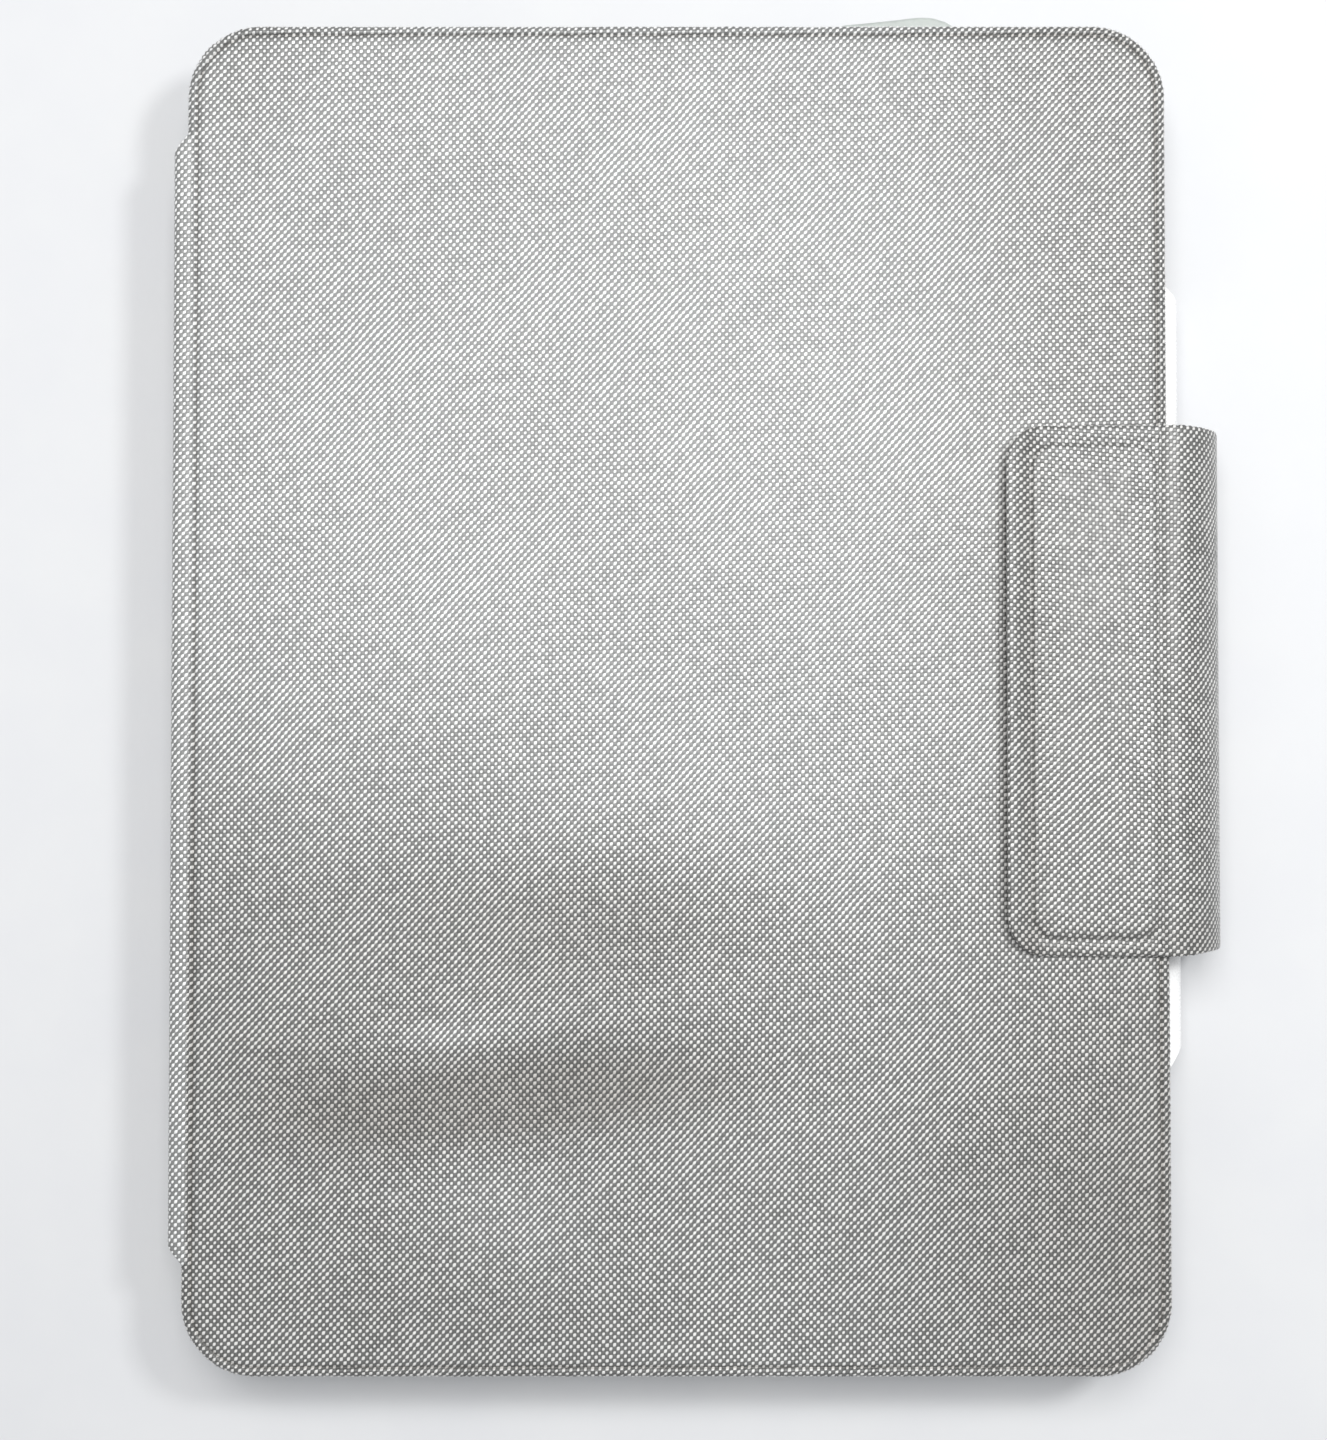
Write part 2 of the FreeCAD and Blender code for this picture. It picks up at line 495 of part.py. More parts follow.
def tab_outline(s, right):
    """Flap outline: two rounded corners on the free edge, straight at the fold."""
    x0, x1, y0, y1, r = P["tab_left"], P[right], P["flap_low"], P["flap_high"], P["tab_round"]
    V = Vector
    s.addGeometry(Part.LineSegment(V(x0 + r, y0, 0), V(x1, y0, 0)), False)
    s.addGeometry(Part.LineSegment(V(x1, y0, 0), V(x1, y1, 0)), False)
    s.addGeometry(Part.LineSegment(V(x1, y1, 0), V(x0 + r, y1, 0)), False)
    s.addGeometry(Part.LineSegment(V(x0, y1 - r, 0), V(x0, y0 + r, 0)), False)
    s.addGeometry(Part.ArcOfCircle(Part.Circle(V(x0 + r, y1 - r, 0), V(0, 0, 1), r), math.pi / 2, math.pi), False)
    s.addGeometry(Part.ArcOfCircle(Part.Circle(V(x0 + r, y0 + r, 0), V(0, 0, 1), r), math.pi, 1.5 * math.pi), False)
    s.addConstraint(C("Coincident", 0, 2, 1, 1))
    s.addConstraint(C("Coincident", 1, 2, 2, 1))
    s.addConstraint(C("Tangent", 2, 2, 4, 1))
    s.addConstraint(C("Tangent", 4, 2, 3, 1))
    s.addConstraint(C("Tangent", 3, 2, 5, 1))
    s.addConstraint(C("Tangent", 5, 2, 0, 1))
    for i, kind in enumerate(("Horizontal", "Vertical", "Horizontal", "Vertical")):
        s.addConstraint(C(kind, i))
    s.addConstraint(C("Equal", 4, 5))
    for kind, alias, args in (("Radius", "tab_round", (4, r)), ("DistanceX", "tab_left", (-1, 1, 3, 1, x0)), ("DistanceX", right, (-1, 1, 1, 1, x1)), ("DistanceY", "flap_low", (-1, 1, 0, 1, y0)), ("DistanceY", "flap_high", (-1, 1, 2, 1, y1))):
        k = s.addConstraint(C(kind, *args))
        s.setExpression("Constraints[%d]" % k, "Dims." + alias)


b = body_of("flap_tab_lining")
s = sketch_at(b, "outline_tab_lining", "tab_under")
tab_outline(s, "tab_right")
pad_between(b, s, "sheet_tab_lining", "tab_under", "tab_lining_top")
node(b, "flap_tab_lining")

b = body_of("flap_tab_fabric")
s = sketch_at(b, "outline_tab", "tab_lining_top")
tab_outline(s, "tab_right")
pad_between(b, s, "border_tab", "tab_lining_top", "tab_border_top")
s = sketch_at(b, "emboss_tab", "tab_lining_top")
add_rounded(s, "plate_left", "plate_right", "plate_low", "plate_high", "plate_round", "+emboss")
p = pad_between(b, s, "raised_tab", "tab_lining_top", "tab_top")
cell("tab_edge", 0.5)
fillet_edges(b, "edge_tab", p, "tab_edge", flat_at(P["tab_top"]))
cell("plate_clear", 0.05)
s = sketch_at(b, "room_tab", "tab_plate_top")
add_rounded(s, "plate_left", "plate_right", "plate_low", "plate_high", "plate_round", "+plate_clear")
pocket_between(b, s, "plate_room_tab", "tab_lining_top", "tab_plate_top")
node(b, "flap_tab_fabric")

b = body_of("flap_tab_plate_body")
s = sketch_at(b, "outline_plate", "tab_lining_top")
add_rounded(s, "plate_left", "plate_right", "plate_low", "plate_high", "plate_round")
pad_between(b, s, "panel_plate", "tab_lining_top", "tab_plate_top")
spots = [(77.7, y) for y in (-34.0, -11.5, 13.4, 36.0)]
node(cut(b, [rod("Z", x, y, 20, 4.1, 3) for x, y in spots], "flap_tab_plate"), "flap_tab_plate")
node(joined([rod("Z", x, y, "tab_lining_top", 4.0, 0.95) for x, y in spots], "flap_magnets"), "flap_magnets")

# ---------------------------------------------------------------- keyboard (face down against the tablet)
u, gap, pitch = P["key_unit"], P["key_gap"], P["row_pitch"]
edge = 7.3 * u  # half the row's length


def row_keys(x, size, widths):
    """Key places in one row from the left hand (+Y) to the right hand (-Y): centre x, centre y, size in x, size in y."""
    out, at = [], edge
    for w in widths:
        out.append((x, at - w * u / 2, size, w * u - gap))
        at -= w * u
    return out


deep = pitch - gap
rows = [P["row_first"] + pitch * i for i in range(5)]
fn = row_keys(P["fn_center"], P["fn_size"], [14.6 / 14] * 14)
num = row_keys(rows[0], deep, [1] * 13 + [1.6])
upper = row_keys(rows[1], deep, [1.5] + [1] * 12 + [1.1])
home = row_keys(rows[2], deep, [1.8] + [1] * 11 + [1.8])
lower = row_keys(rows[3], deep, [2.3] + [1] * 10 + [2.3])
bottom = row_keys(rows[4], deep, [1.1, 1, 1, 1.2, 5.3, 1, 1, 1, 1, 1])
ud = bottom[8]
small = (deep - 1.0) / 2
KEYS = {
    "escape_key": fn[:1], "function_keys": fn[1:], "number_keys": num[:13], "backspace_key": num[13:],
    "tab_key": upper[:1], "upper_letter_keys": upper[1:], "caps_lock_key": home[:1], "home_letter_keys": home[1:12],
    "enter_key": home[12:], "left_shift_key": lower[:1], "lower_letter_keys": lower[1:11], "right_shift_key": lower[11:],
    "left_modifier_keys": bottom[:4], "space_bar": bottom[4:5], "right_modifier_keys": bottom[5:7],
    "side_arrow_keys": [bottom[7], bottom[9]],
    "up_down_arrow_keys": [(ud[0] - (small + 1.0) / 2, ud[1], small, ud[3]), (ud[0] + (small + 1.0) / 2, ud[1], small, ud[3])],
}


def rounded_block(x, y, sx, sy, z0, z1, r):
    box = Part.makeBox(sx, sy, z1 - z0, Vector(x - sx / 2, y - sy / 2, z0))
    upright = [e for e in box.Edges if abs(e.Vertexes[0].Z - e.Vertexes[1].Z) > 0.1]
    return box.makeFillet(r, upright)


def stems_of(x, y, sx, sy):
    if sy > 26:
        n = max(2, int(sy / 28) + 1)
        return [(x, y - sy / 2 + sy * (i + 0.5) / n) for i in range(n)]
    return [(x, y)]


holes, guides = [], []
for name, places in KEYS.items():
    solids = []
    for x, y, sx, sy in places:
        r = 1.6 if min(sx, sy) > 10 else 1.2
        cap = rounded_block(x, y, sx, sy, P["key_face"], P["key_face"] + P["cap_thick"], r)
        rim = [e for e in cap.Edges if abs(e.BoundBox.ZMin - P["key_face"]) < 1e-5 and abs(e.BoundBox.ZMax - P["key_face"]) < 1e-5]
        cap = cap.makeChamfer(0.3, rim)
        for px, py in stems_of(x, y, sx, sy):
            foot = P["key_face"] + P["cap_thick"]
            cap = cap.fuse(Part.makeCylinder(P["stem_radius"], P["stem_top"] - foot + 0.1, Vector(px, py, foot - 0.1)))
            guides.append(Part.makeCylinder(P["stem_radius"] + 0.4, 2.0, Vector(px, py, 14.5)))
        solids.append(cap.removeSplitter())
        k = 2 * P["key_clear"]
        holes.append(rounded_block(x, y, sx + k, sy + k, 12.0, 14.5, r + 0.3))
    node(feature(Part.makeCompound(solids) if len(solids) > 1 else solids[0], name), name)

screw_at = [(x, y) for x in (-80.6, 80.6) for y in (-116.6, 116.6)] + [(20.5, -116.6), (20.5, 116.6)]

b = body_of("keyboard_case_block")
s = sketch_at(b, "outline_deck", "deck_face")
add_rounded(s, "kb_left", "kb_right", "kb_low", "kb_high", "kb_round")
p = pad_between(b, s, "block_deck", "deck_face", "base_under")
cell("deck_edge", 0.8)
fillet_edges(b, "edge_deck", p, "deck_edge", flat_at(P["deck_face"]))
s = sketch_at(b, "inside_deck", "base_under")
add_rounded(s, "kb_left", "kb_right", "kb_low", "kb_high", "kb_round", "-kb_wall")
pocket_between(b, s, "room_deck", "deck_back", "base_under")
bosses = joined([b] + [rod("Z", x, y, 13.7, 2.0, P["base_under"] - 13.7) for x, y in screw_at])
tools = [rod("Z", x, y, 14.5, 0.85, 5) for x, y in screw_at]
tools.append(feature(Part.makeCompound(holes), "key_openings"))
k = P["key_clear"]
tools.append(feature(rounded_block(50, 0, 54 + 2 * k, 96 + 2 * k, 12, 14.5, 3.0), "pad_opening"))
tools.append(rod("Z", 19.7, -100, 12, 0.8, 3))
tools.append(block(30.3, 39.7, 117, 121, 13.85, 16.4))
tools.append(block(50.6, 57.4, 117, 121, 14.0, 15.6))
node(cut(bosses, tools, "keyboard_top_case"), "keyboard_top_case")

b = body_of("keyboard_base_body")
s = sketch_at(b, "outline_base", "base_under")
add_rounded(s, "kb_left", "kb_right", "kb_low", "kb_high", "kb_round")
p = pad_between(b, s, "plate_base", "base_under", "base_top")
tools = [rod("Z", x, y, 16, 0.9, 3) for x, y in screw_at] + [rod("Z", x, y, 17.15, 1.9, 2) for x, y in screw_at]
node(cut(b, tools, "keyboard_base_cover"), "keyboard_base_cover")
screws = []
for x, y in screw_at:
    one = Part.makeCylinder(1.8, 0.45, Vector(x, y, 17.15)).fuse(Part.makeCylinder(0.8, 2.55, Vector(x, y, 14.62)))
    slot = Part.makeBox(2.2, 0.45, 0.5, Vector(x - 1.1, y - 0.225, 17.4)).fuse(Part.makeBox(0.45, 2.2, 0.5, Vector(x - 0.225, y - 1.1, 17.4)))
    screws.append(one.cut(slot).removeSplitter())
node(feature(Part.makeCompound(screws), "keyboard_screws"), "keyboard_screws")

plate = Part.makeBox(99.4, 227.6, P["rib_top"] - P["rib_under"], Vector(-80.4, -113.8, P["rib_under"]))
node(feature(plate.cut(Part.makeCompound(guides)), "key_support_plate"), "key_support_plate")
node(joined([block(76, 82, y, y + 30, 16.3, "base_under") for y in (-90, 60)] + [block(20.5, 26.5, y, y + 30, 16.3, "base_under") for y in (-90, 60)], "keyboard_catch_plates"), "keyboard_catch_plates")
chips = [block(30, 40, -30, -20, 14.9, 15.5), block(45, 57, 2, 14, 14.8, 15.5)]
node(joined([block(28, 72, -44, 44, 15.4, 16.4)] + chips, "circuit_board"), "circuit_board")
node(joined([block(30, 72, 56, 110, 14.0, 16.6), block(30, 72, -110, -56, 14.0, 16.6)], "battery"), "battery")
port = Part.makeBox(9.0, 7.4, 2.4, Vector(30.5, 112.5, 13.95))
slot = Part.makeBox(8.4, 6.4, 1.8, Vector(30.8, 113.8, 14.25))
tongue = Part.makeBox(6.6, 5.6, 0.6, Vector(31.7, 113.6, 14.85))
node(feature(port.makeFillet(0.7, [e for e in port.Edges if abs(e.BoundBox.YLength - 7.4) < 1e-6]).cut(slot).fuse(tongue).removeSplitter(), "usb_c_port"), "usb_c_port")
node(rod("Z", 19.7, -100, 12.55, 0.75, 1.6, "status_light"), "status_light")
knob = Part.makeBox(3.0, 3.0, 1.2, Vector(51.0, 117.8, 14.2)).fuse(Part.makeBox(5.0, 2.0, 2.2, Vector(50.4, 116.2, 13.9)))
node(feature(knob.removeSplitter(), "power_switch"), "power_switch")

b = body_of("touchpad")
cell("pad_back", 13.4)
cell("pad_low", -48.0)
cell("pad_round", 2.7)
s = sketch_at(b, "outline_pad", "pad_face")
add_rounded(s, "pad_left", "pad_right", "pad_low", "pad_half", "pad_round")
pad_between(b, s, "plate_pad", "pad_face", "pad_back")
node(b, "touchpad")

# ---------------------------------------------------------------- checks and export
doc.recompute()
for o in doc.Objects:
    if any(w in ("Invalid", "Error") for w in o.State):
        raise RuntimeError("failed: %s %s" % (o.Name, o.State))
names = [o.Label for o in NODES]
if len(set(names)) != len(names) or len(names) > 60:
    raise RuntimeError("names: %d" % len(names))
os.makedirs("parts", exist_ok=True)
for o in NODES:
    if o.Shape.isNull() or not o.Shape.isValid() or not o.Shape.Solids:
        raise RuntimeError("bad shape: " + o.Label)
for o in NODES:
    o.Shape.exportStep(os.path.join("parts", o.Label + ".step"))
    bb = o.Shape.optimalBoundingBox()
    print("%-32s %2d solids %9.1f mm3  x %7.2f %7.2f  y %7.2f %7.2f  z %6.2f %6.2f" % (o.Label, len(o.Shape.Solids), o.Shape.Volume, bb.XMin, bb.XMax, bb.YMin, bb.YMax, bb.ZMin, bb.ZMax))
print(len(NODES), "nodes")
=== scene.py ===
import json
import math

import bpy
import numpy as np
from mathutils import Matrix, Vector
from mathutils.geometry import delaunay_2d_cdt


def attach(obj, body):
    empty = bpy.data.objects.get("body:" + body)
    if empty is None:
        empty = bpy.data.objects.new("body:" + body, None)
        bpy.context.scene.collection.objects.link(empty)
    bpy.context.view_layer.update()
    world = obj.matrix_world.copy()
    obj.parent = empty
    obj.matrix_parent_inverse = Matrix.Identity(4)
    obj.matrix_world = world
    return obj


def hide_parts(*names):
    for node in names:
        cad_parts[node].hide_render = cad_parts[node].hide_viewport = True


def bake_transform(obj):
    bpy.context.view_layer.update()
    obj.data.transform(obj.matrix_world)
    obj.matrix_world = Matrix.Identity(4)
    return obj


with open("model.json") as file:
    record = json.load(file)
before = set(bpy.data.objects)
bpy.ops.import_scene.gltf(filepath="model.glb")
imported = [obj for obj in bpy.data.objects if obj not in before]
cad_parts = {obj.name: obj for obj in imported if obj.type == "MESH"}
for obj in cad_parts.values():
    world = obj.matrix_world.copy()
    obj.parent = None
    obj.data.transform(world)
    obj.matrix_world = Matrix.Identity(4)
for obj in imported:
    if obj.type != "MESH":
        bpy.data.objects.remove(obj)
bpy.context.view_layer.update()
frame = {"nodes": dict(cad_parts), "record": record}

MM = 0.001
WARP, WEFT = 0.672, 0.716  # thread pitch of the weave, mm

# ------------------------------------------------------------------ materials


class Nodes:
    """Short helper for building a shader tree."""

    def __init__(self, name):
        self.mat = bpy.data.materials.new(name)
        self.mat.use_nodes = True
        self.nt = self.mat.node_tree
        self.nt.nodes.clear()
        self.out = self.nt.nodes.new("ShaderNodeOutputMaterial")
        self.bsdf = self.nt.nodes.new("ShaderNodeBsdfPrincipled")
        self.nt.links.new(self.bsdf.outputs[0], self.out.inputs[0])

    def put(self, socket, value):
        if hasattr(value, "is_linked") or hasattr(value, "links"):
            self.nt.links.new(value, socket)
        elif isinstance(value, (tuple, list)):
            socket.default_value = tuple(value) + ((1.0,) if len(value) == 3 and len(socket.default_value) == 4 else ())
        else:
            socket.default_value = value

    def math(self, op, a, b=None, c=None, clamp=False):
        n = self.nt.nodes.new("ShaderNodeMath")
        n.operation = op
        n.use_clamp = clamp
        for i, v in enumerate((a, b, c)):
            if v is not None:
                self.put(n.inputs[i], v)
        return n.outputs[0]

    def vec(self, op, a, b=None):
        n = self.nt.nodes.new("ShaderNodeVectorMath")
        n.operation = op
        self.put(n.inputs[0], a)
        if b is not None:
            self.put(n.inputs[3] if op == "SCALE" else n.inputs[1], b)
        return n.outputs[0]

    def coords(self):
        return self.nt.nodes.new("ShaderNodeTexCoord").outputs["Object"]

    def attribute(self, name):
        n = self.nt.nodes.new("ShaderNodeAttribute")
        n.attribute_name = name
        return n.outputs["Vector"]

    def xyz(self, v):
        n = self.nt.nodes.new("ShaderNodeSeparateXYZ")
        self.put(n.inputs[0], v)
        return n.outputs

    def join(self, x, y, z=0.0):
        n = self.nt.nodes.new("ShaderNodeCombineXYZ")
        for i, v in enumerate((x, y, z)):
            self.put(n.inputs[i], v)
        return n.outputs[0]

    def noise(self, v, scale, detail=2.0, rough=0.5):
        n = self.nt.nodes.new("ShaderNodeTexNoise")
        self.put(n.inputs["Vector"], v)
        n.inputs["Scale"].default_value = scale
        n.inputs["Detail"].default_value = detail
        n.inputs["Roughness"].default_value = rough
        return n.outputs["Fac"]

    def white(self, v):
        n = self.nt.nodes.new("ShaderNodeTexWhiteNoise")
        n.noise_dimensions = "3D"
        self.put(n.inputs["Vector"], v)
        return n.outputs["Value"]

    def ramp(self, fac, lo, hi, a=0.0, b=1.0, smooth=True):
        n = self.nt.nodes.new("ShaderNodeMapRange")
        n.interpolation_type = "SMOOTHSTEP" if smooth else "LINEAR"
        self.put(n.inputs["Value"], fac)
        n.inputs["From Min"].default_value = lo
        n.inputs["From Max"].default_value = hi
        n.inputs["To Min"].default_value = a
        n.inputs["To Max"].default_value = b
        return n.outputs["Result"]

    def mix(self, fac, a, b, kind="MIX"):
        n = self.nt.nodes.new("ShaderNodeMix")
        n.data_type = "RGBA"
        n.blend_type = kind
        self.put(n.inputs[0], fac)
        self.put(n.inputs[6], a)
        self.put(n.inputs[7], b)
        return n.outputs[2]

    def bump(self, height, strength, distance):
        n = self.nt.nodes.new("ShaderNodeBump")
        n.inputs["Strength"].default_value = strength
        n.inputs["Distance"].default_value = distance
        self.put(n.inputs["Height"], height)
        self.put(self.bsdf.inputs["Normal"], n.outputs[0])

    def set(self, **k):
        for name, v in k.items():
            self.put(self.bsdf.inputs[name.replace("_", " ")], v)
        return self.mat


def woven():
    """Plain weave: white warp over grey weft, one thread pitch per unit of the stored weave coordinate."""
    m = Nodes("woven_fabric")
    at = m.attribute("weave")
    wob = m.vec("MULTIPLY", (1.0, 1.0, 0.0), m.vec("SCALE", m.vec("SUBTRACT", m.join(m.noise(at, 0.11, 2.0), m.noise(m.vec("ADD", at, (31.7, 5.1, 2.0)), 0.11, 2.0)), (0.5, 0.5, 0.0)), 0.55))
    at2 = m.vec("ADD", at, wob)
    u, v, _ = m.xyz(at2)
    cu = m.math("COSINE", m.math("MULTIPLY", u, math.pi))
    cv = m.math("COSINE", m.math("MULTIPLY", v, math.pi))
    prod = m.math("MULTIPLY", cu, cv)
    iu, iv = m.math("FLOOR", m.math("ADD", u, 0.5)), m.math("FLOOR", m.math("ADD", v, 0.5))
    cell = m.white(m.join(iu, iv, 0.0))
    warp = m.noise(m.join(m.math("MULTIPLY", iu, 5.3), 7.0, m.math("MULTIPLY", v, 0.07)), 1.0, 1.0)
    weft = m.noise(m.join(3.0, m.math("MULTIPLY", iv, 5.3), m.math("MULTIPLY", u, 0.07)), 1.0, 1.0)
    # the pulled cloth shows its dots stretched along one diagonal, more in some places than in others
    pull = m.ramp(m.noise(m.vec("ADD", at, (5.0, 91.0, 0.0)), 0.02, 2.0), 0.3, 0.7, 0.08, 0.34)
    slant = m.math("MULTIPLY", m.math("MULTIPLY", m.math("SINE", m.math("MULTIPLY", u, math.pi)), m.math("SINE", m.math("MULTIPLY", v, math.pi))), pull)
    lifted = m.math("ADD", m.math("ADD", prod, slant), m.math("MULTIPLY", m.math("SUBTRACT", cell, 0.5), 0.42))
    dot = m.ramp(lifted, 0.0, 0.5)
    fibre = m.noise(m.join(m.math("MULTIPLY", u, 9.0), m.math("MULTIPLY", v, 2.2)), 1.0, 3.0)
    grey = m.mix(weft, (0.105, 0.107, 0.105), (0.165, 0.168, 0.164))
    pale = m.mix(warp, (0.93, 0.93, 0.92), (0.74, 0.75, 0.75))
    col = m.mix(dot, grey, pale)
    gap = m.ramp(m.math("ABSOLUTE", m.math("ADD", prod, slant)), 0.0, 0.40, 0.50, 1.0)
    col = m.mix(1.0, col, m.join(gap, gap, gap), "MULTIPLY")
    f = m.ramp(fibre, 0.25, 0.75, 0.86, 1.06)
    col = m.mix(1.0, col, m.join(f, f, f), "MULTIPLY")
    big = m.ramp(m.noise(at, 0.012, 3.0), 0.3, 0.7, 0.95, 1.04)
    painted_shade = m.xyz(at)[2]  # painted shade, read from the third weave component
    col = m.mix(m.ramp(painted_shade, -0.15, 0.62, 0.135, 0.0), col, (0.70, 0.71, 0.71))  # painted highlight: a pale haze over the cloth, strongest where the painted shade is low
    col = m.mix(1.0, col, m.join(big, big, m.math("MULTIPLY", big, 0.995)), "MULTIPLY")
    # painted shade: darkens the cloth, with a warm tint, by the painted shade amount
    col = m.mix(painted_shade, col, m.mix(1.0, col, (0.60, 0.575, 0.55), "MULTIPLY"))
    height = m.math("ADD", m.math("POWER", m.math("ABSOLUTE", prod), 0.6), m.math("MULTIPLY", fibre, 0.12))
    m.bump(height, 0.6, 0.00009)
    rough = m.ramp(fibre, 0.2, 0.8, 0.30, 0.42)
    return m.set(Base_Color=col, Roughness=rough, Sheen_Weight=0.15, Sheen_Roughness=0.5, Specular_IOR_Level=0.62)


def plain(name, a, b, rough, scale, depth, strength=0.4, streak=None, detail=3.0, **more):
    """Two close colours mixed by noise, with roughness and bump from the same noise; streak stretches it along one axis."""
    m = Nodes(name)
    at = m.coords()
    if streak:
        at = m.vec("MULTIPLY", at, streak)
    fine = m.noise(at, scale, detail)
    broad = m.noise(m.coords(), 28.0, 3.0)
    fac = m.ramp(m.math("ADD", m.math("MULTIPLY", fine, 0.6), m.math("MULTIPLY", broad, 0.4)), 0.3, 0.7)
    m.bump(fine, strength, depth)
    m.put(m.bsdf.inputs["Roughness"], m.ramp(fine, 0.25, 0.75, rough[0], rough[1]))
    return m.set(Base_Color=m.mix(fac, a, b), **more)


M = {"woven_fabric": woven()}
M["board"] = plain("fibre_board", (0.075, 0.068, 0.06), (0.12, 0.11, 0.098), (0.8, 0.95), 1400, 0.0001)
M["lining"] = plain("microfibre_lining", (0.30, 0.31, 0.32), (0.40, 0.41, 0.42), (0.85, 1.0), 2600, 0.00012, 0.6, Sheen_Weight=0.35, Sheen_Roughness=0.45)
M["soft_tpu"] = plain("frosted_soft_plastic", (0.53, 0.57, 0.54), (0.62, 0.66, 0.63), (0.34, 0.5), 900, 0.00004, 0.25, Transmission_Weight=0.32, IOR=1.47)
M["white_plastic"] = plain("white_plastic", (0.90, 0.90, 0.89), (0.94, 0.94, 0.935), (0.22, 0.34), 2600, 0.000006, 0.15)
M["steel"] = plain("brushed_steel", (0.42, 0.42, 0.42), (0.6, 0.6, 0.59), (0.25, 0.45), 500, 0.00002, 0.3, streak=(1.0, 12.0, 1.0), Metallic=1.0)
M["magnet"] = plain("nickel_magnet", (0.58, 0.57, 0.54), (0.7, 0.69, 0.66), (0.15, 0.28), 260, 0.00002, 0.2, Metallic=1.0)
M["case_plastic"] = plain("keyboard_case_plastic", (0.30, 0.31, 0.32), (0.35, 0.36, 0.37), (0.42, 0.6), 5200, 0.00005, 0.35)
M["key_plastic"] = plain("keycap_plastic", (0.78, 0.785, 0.785), (0.84, 0.845, 0.845), (0.4, 0.55), 4200, 0.00004, 0.3)
M["pad_plastic"] = plain("touchpad_surface", (0.36, 0.37, 0.38), (0.41, 0.42, 0.43), (0.28, 0.38), 6500, 0.00002, 0.2)
M["board_green"] = plain("circuit_board_mask", (0.012, 0.09, 0.03), (0.03, 0.16, 0.06), (0.25, 0.45), 420, 0.00005, 0.4, Coat_Weight=0.3)
M["battery_wrap"] = plain("battery_film", (0.05, 0.05, 0.055), (0.09, 0.09, 0.1), (0.3, 0.5), 240, 0.00008, 0.4)
M["light_pipe"] = plain("light_pipe", (0.7, 0.82, 0.72), (0.8, 0.9, 0.82), (0.15, 0.3), 900, 0.00002, 0.2, Transmission_Weight=0.4)

slot_of = {s["node"]: s["material_slot"] for s in frame["record"]["subparts"]}


def finish_node(name):
    o = frame["nodes"][name]
    mat = M[slot_of[name]]
    if not o.material_slots:
        o.data.materials.append(mat)
    for s in o.material_slots:
        s.material = mat


for node in frame["nodes"]:
    finish_node(node)

# ------------------------------------------------------------------ mesh helpers


def make(name, verts, faces, weave=None, mat="woven_fabric", smooth=True, painted_shade=None):
    """verts in mm; faces as a list of index tuples; weave in mm along and across the threads."""
    verts = np.asarray(verts, float).reshape(-1, 3)
    me = bpy.data.meshes.new(name)
    me.from_pydata((verts * MM).tolist(), [], faces)
    me.validate()
    me.update()
    if weave is not None and len(me.vertices) == len(verts):
        w = np.zeros((len(verts), 3), np.float32)
        w[:, :2] = np.asarray(weave, float).reshape(-1, 2)
        # the third weave component carries a painted shade amount
        if painted_shade is not None:
            w[:, 2] = painted_shade(verts[:, 0], verts[:, 1])
        a = me.attributes.new("weave", "FLOAT_VECTOR", "POINT")
        a.data.foreach_set("vector", w.ravel())
    flat = np.zeros(len(me.polygons), np.float32)
    me.polygons.foreach_get("area", flat)
    me.polygons.foreach_set("use_smooth", [bool(smooth and a < 3e-6) for a in flat])
    me.materials.append(M[mat])
    o = bpy.data.objects.new(name, me)
    bpy.context.scene.collection.objects.link(o)
    return o


def threads(x, y, skew=0.0367, turn=0.0):
    """Weave coordinate in thread counts; skew tilts the weft as the cloth was pulled."""
    return np.stack([(x + turn * y) / WARP, (y - skew * x) / WEFT], -1)


def weave_height(uv):
    return np.cos(np.pi * uv[..., 0]) * np.cos(np.pi * uv[..., 1])


def rrect(left, right, low, high, r, nx, ny, nc):
    """Rounded rectangle, counter-clockwise from the middle of the lower left corner. Returns points and outward normals."""
    pts, nor = [], []

    def arc(cx, cy, a0, a1, n):
        for i in range(n):
            a = math.radians(a0 + (a1 - a0) * i / n)
            pts.append((cx + r * math.cos(a), cy + r * math.sin(a)))
            nor.append((math.cos(a), math.sin(a)))

    def line(x0, y0, x1, y1, n, d):
        for i in range(n):
            t = i / n
            pts.append((x0 + (x1 - x0) * t, y0 + (y1 - y0) * t))
            nor.append(d)

    h = nc // 2
    arc(left + r, low + r, 225, 270, h)
    line(left + r, low, right - r, low, nx, (0, -1))
    arc(right - r, low + r, 270, 360, nc)
    line(right, low + r, right, high - r, ny, (1, 0))
    arc(right - r, high - r, 0, 90, nc)
    line(right - r, high, left + r, high, nx, (0, 1))
    arc(left + r, high - r, 90, 180, nc)
    line(left, high - r, left, low + r, ny, (-1, 0))
    arc(left + r, low + r, 180, 225, h)
    return np.array(pts), np.array(nor)


def quads(a, b, n, flip=False):
    """Faces between two closed loops that start at index a and b."""
    out = []
    for i in range(n):
        j = (i + 1) % n
        f = (a + i, a + j, b + j, b + i)
        out.append(f[::-1] if flip else f)
    return out


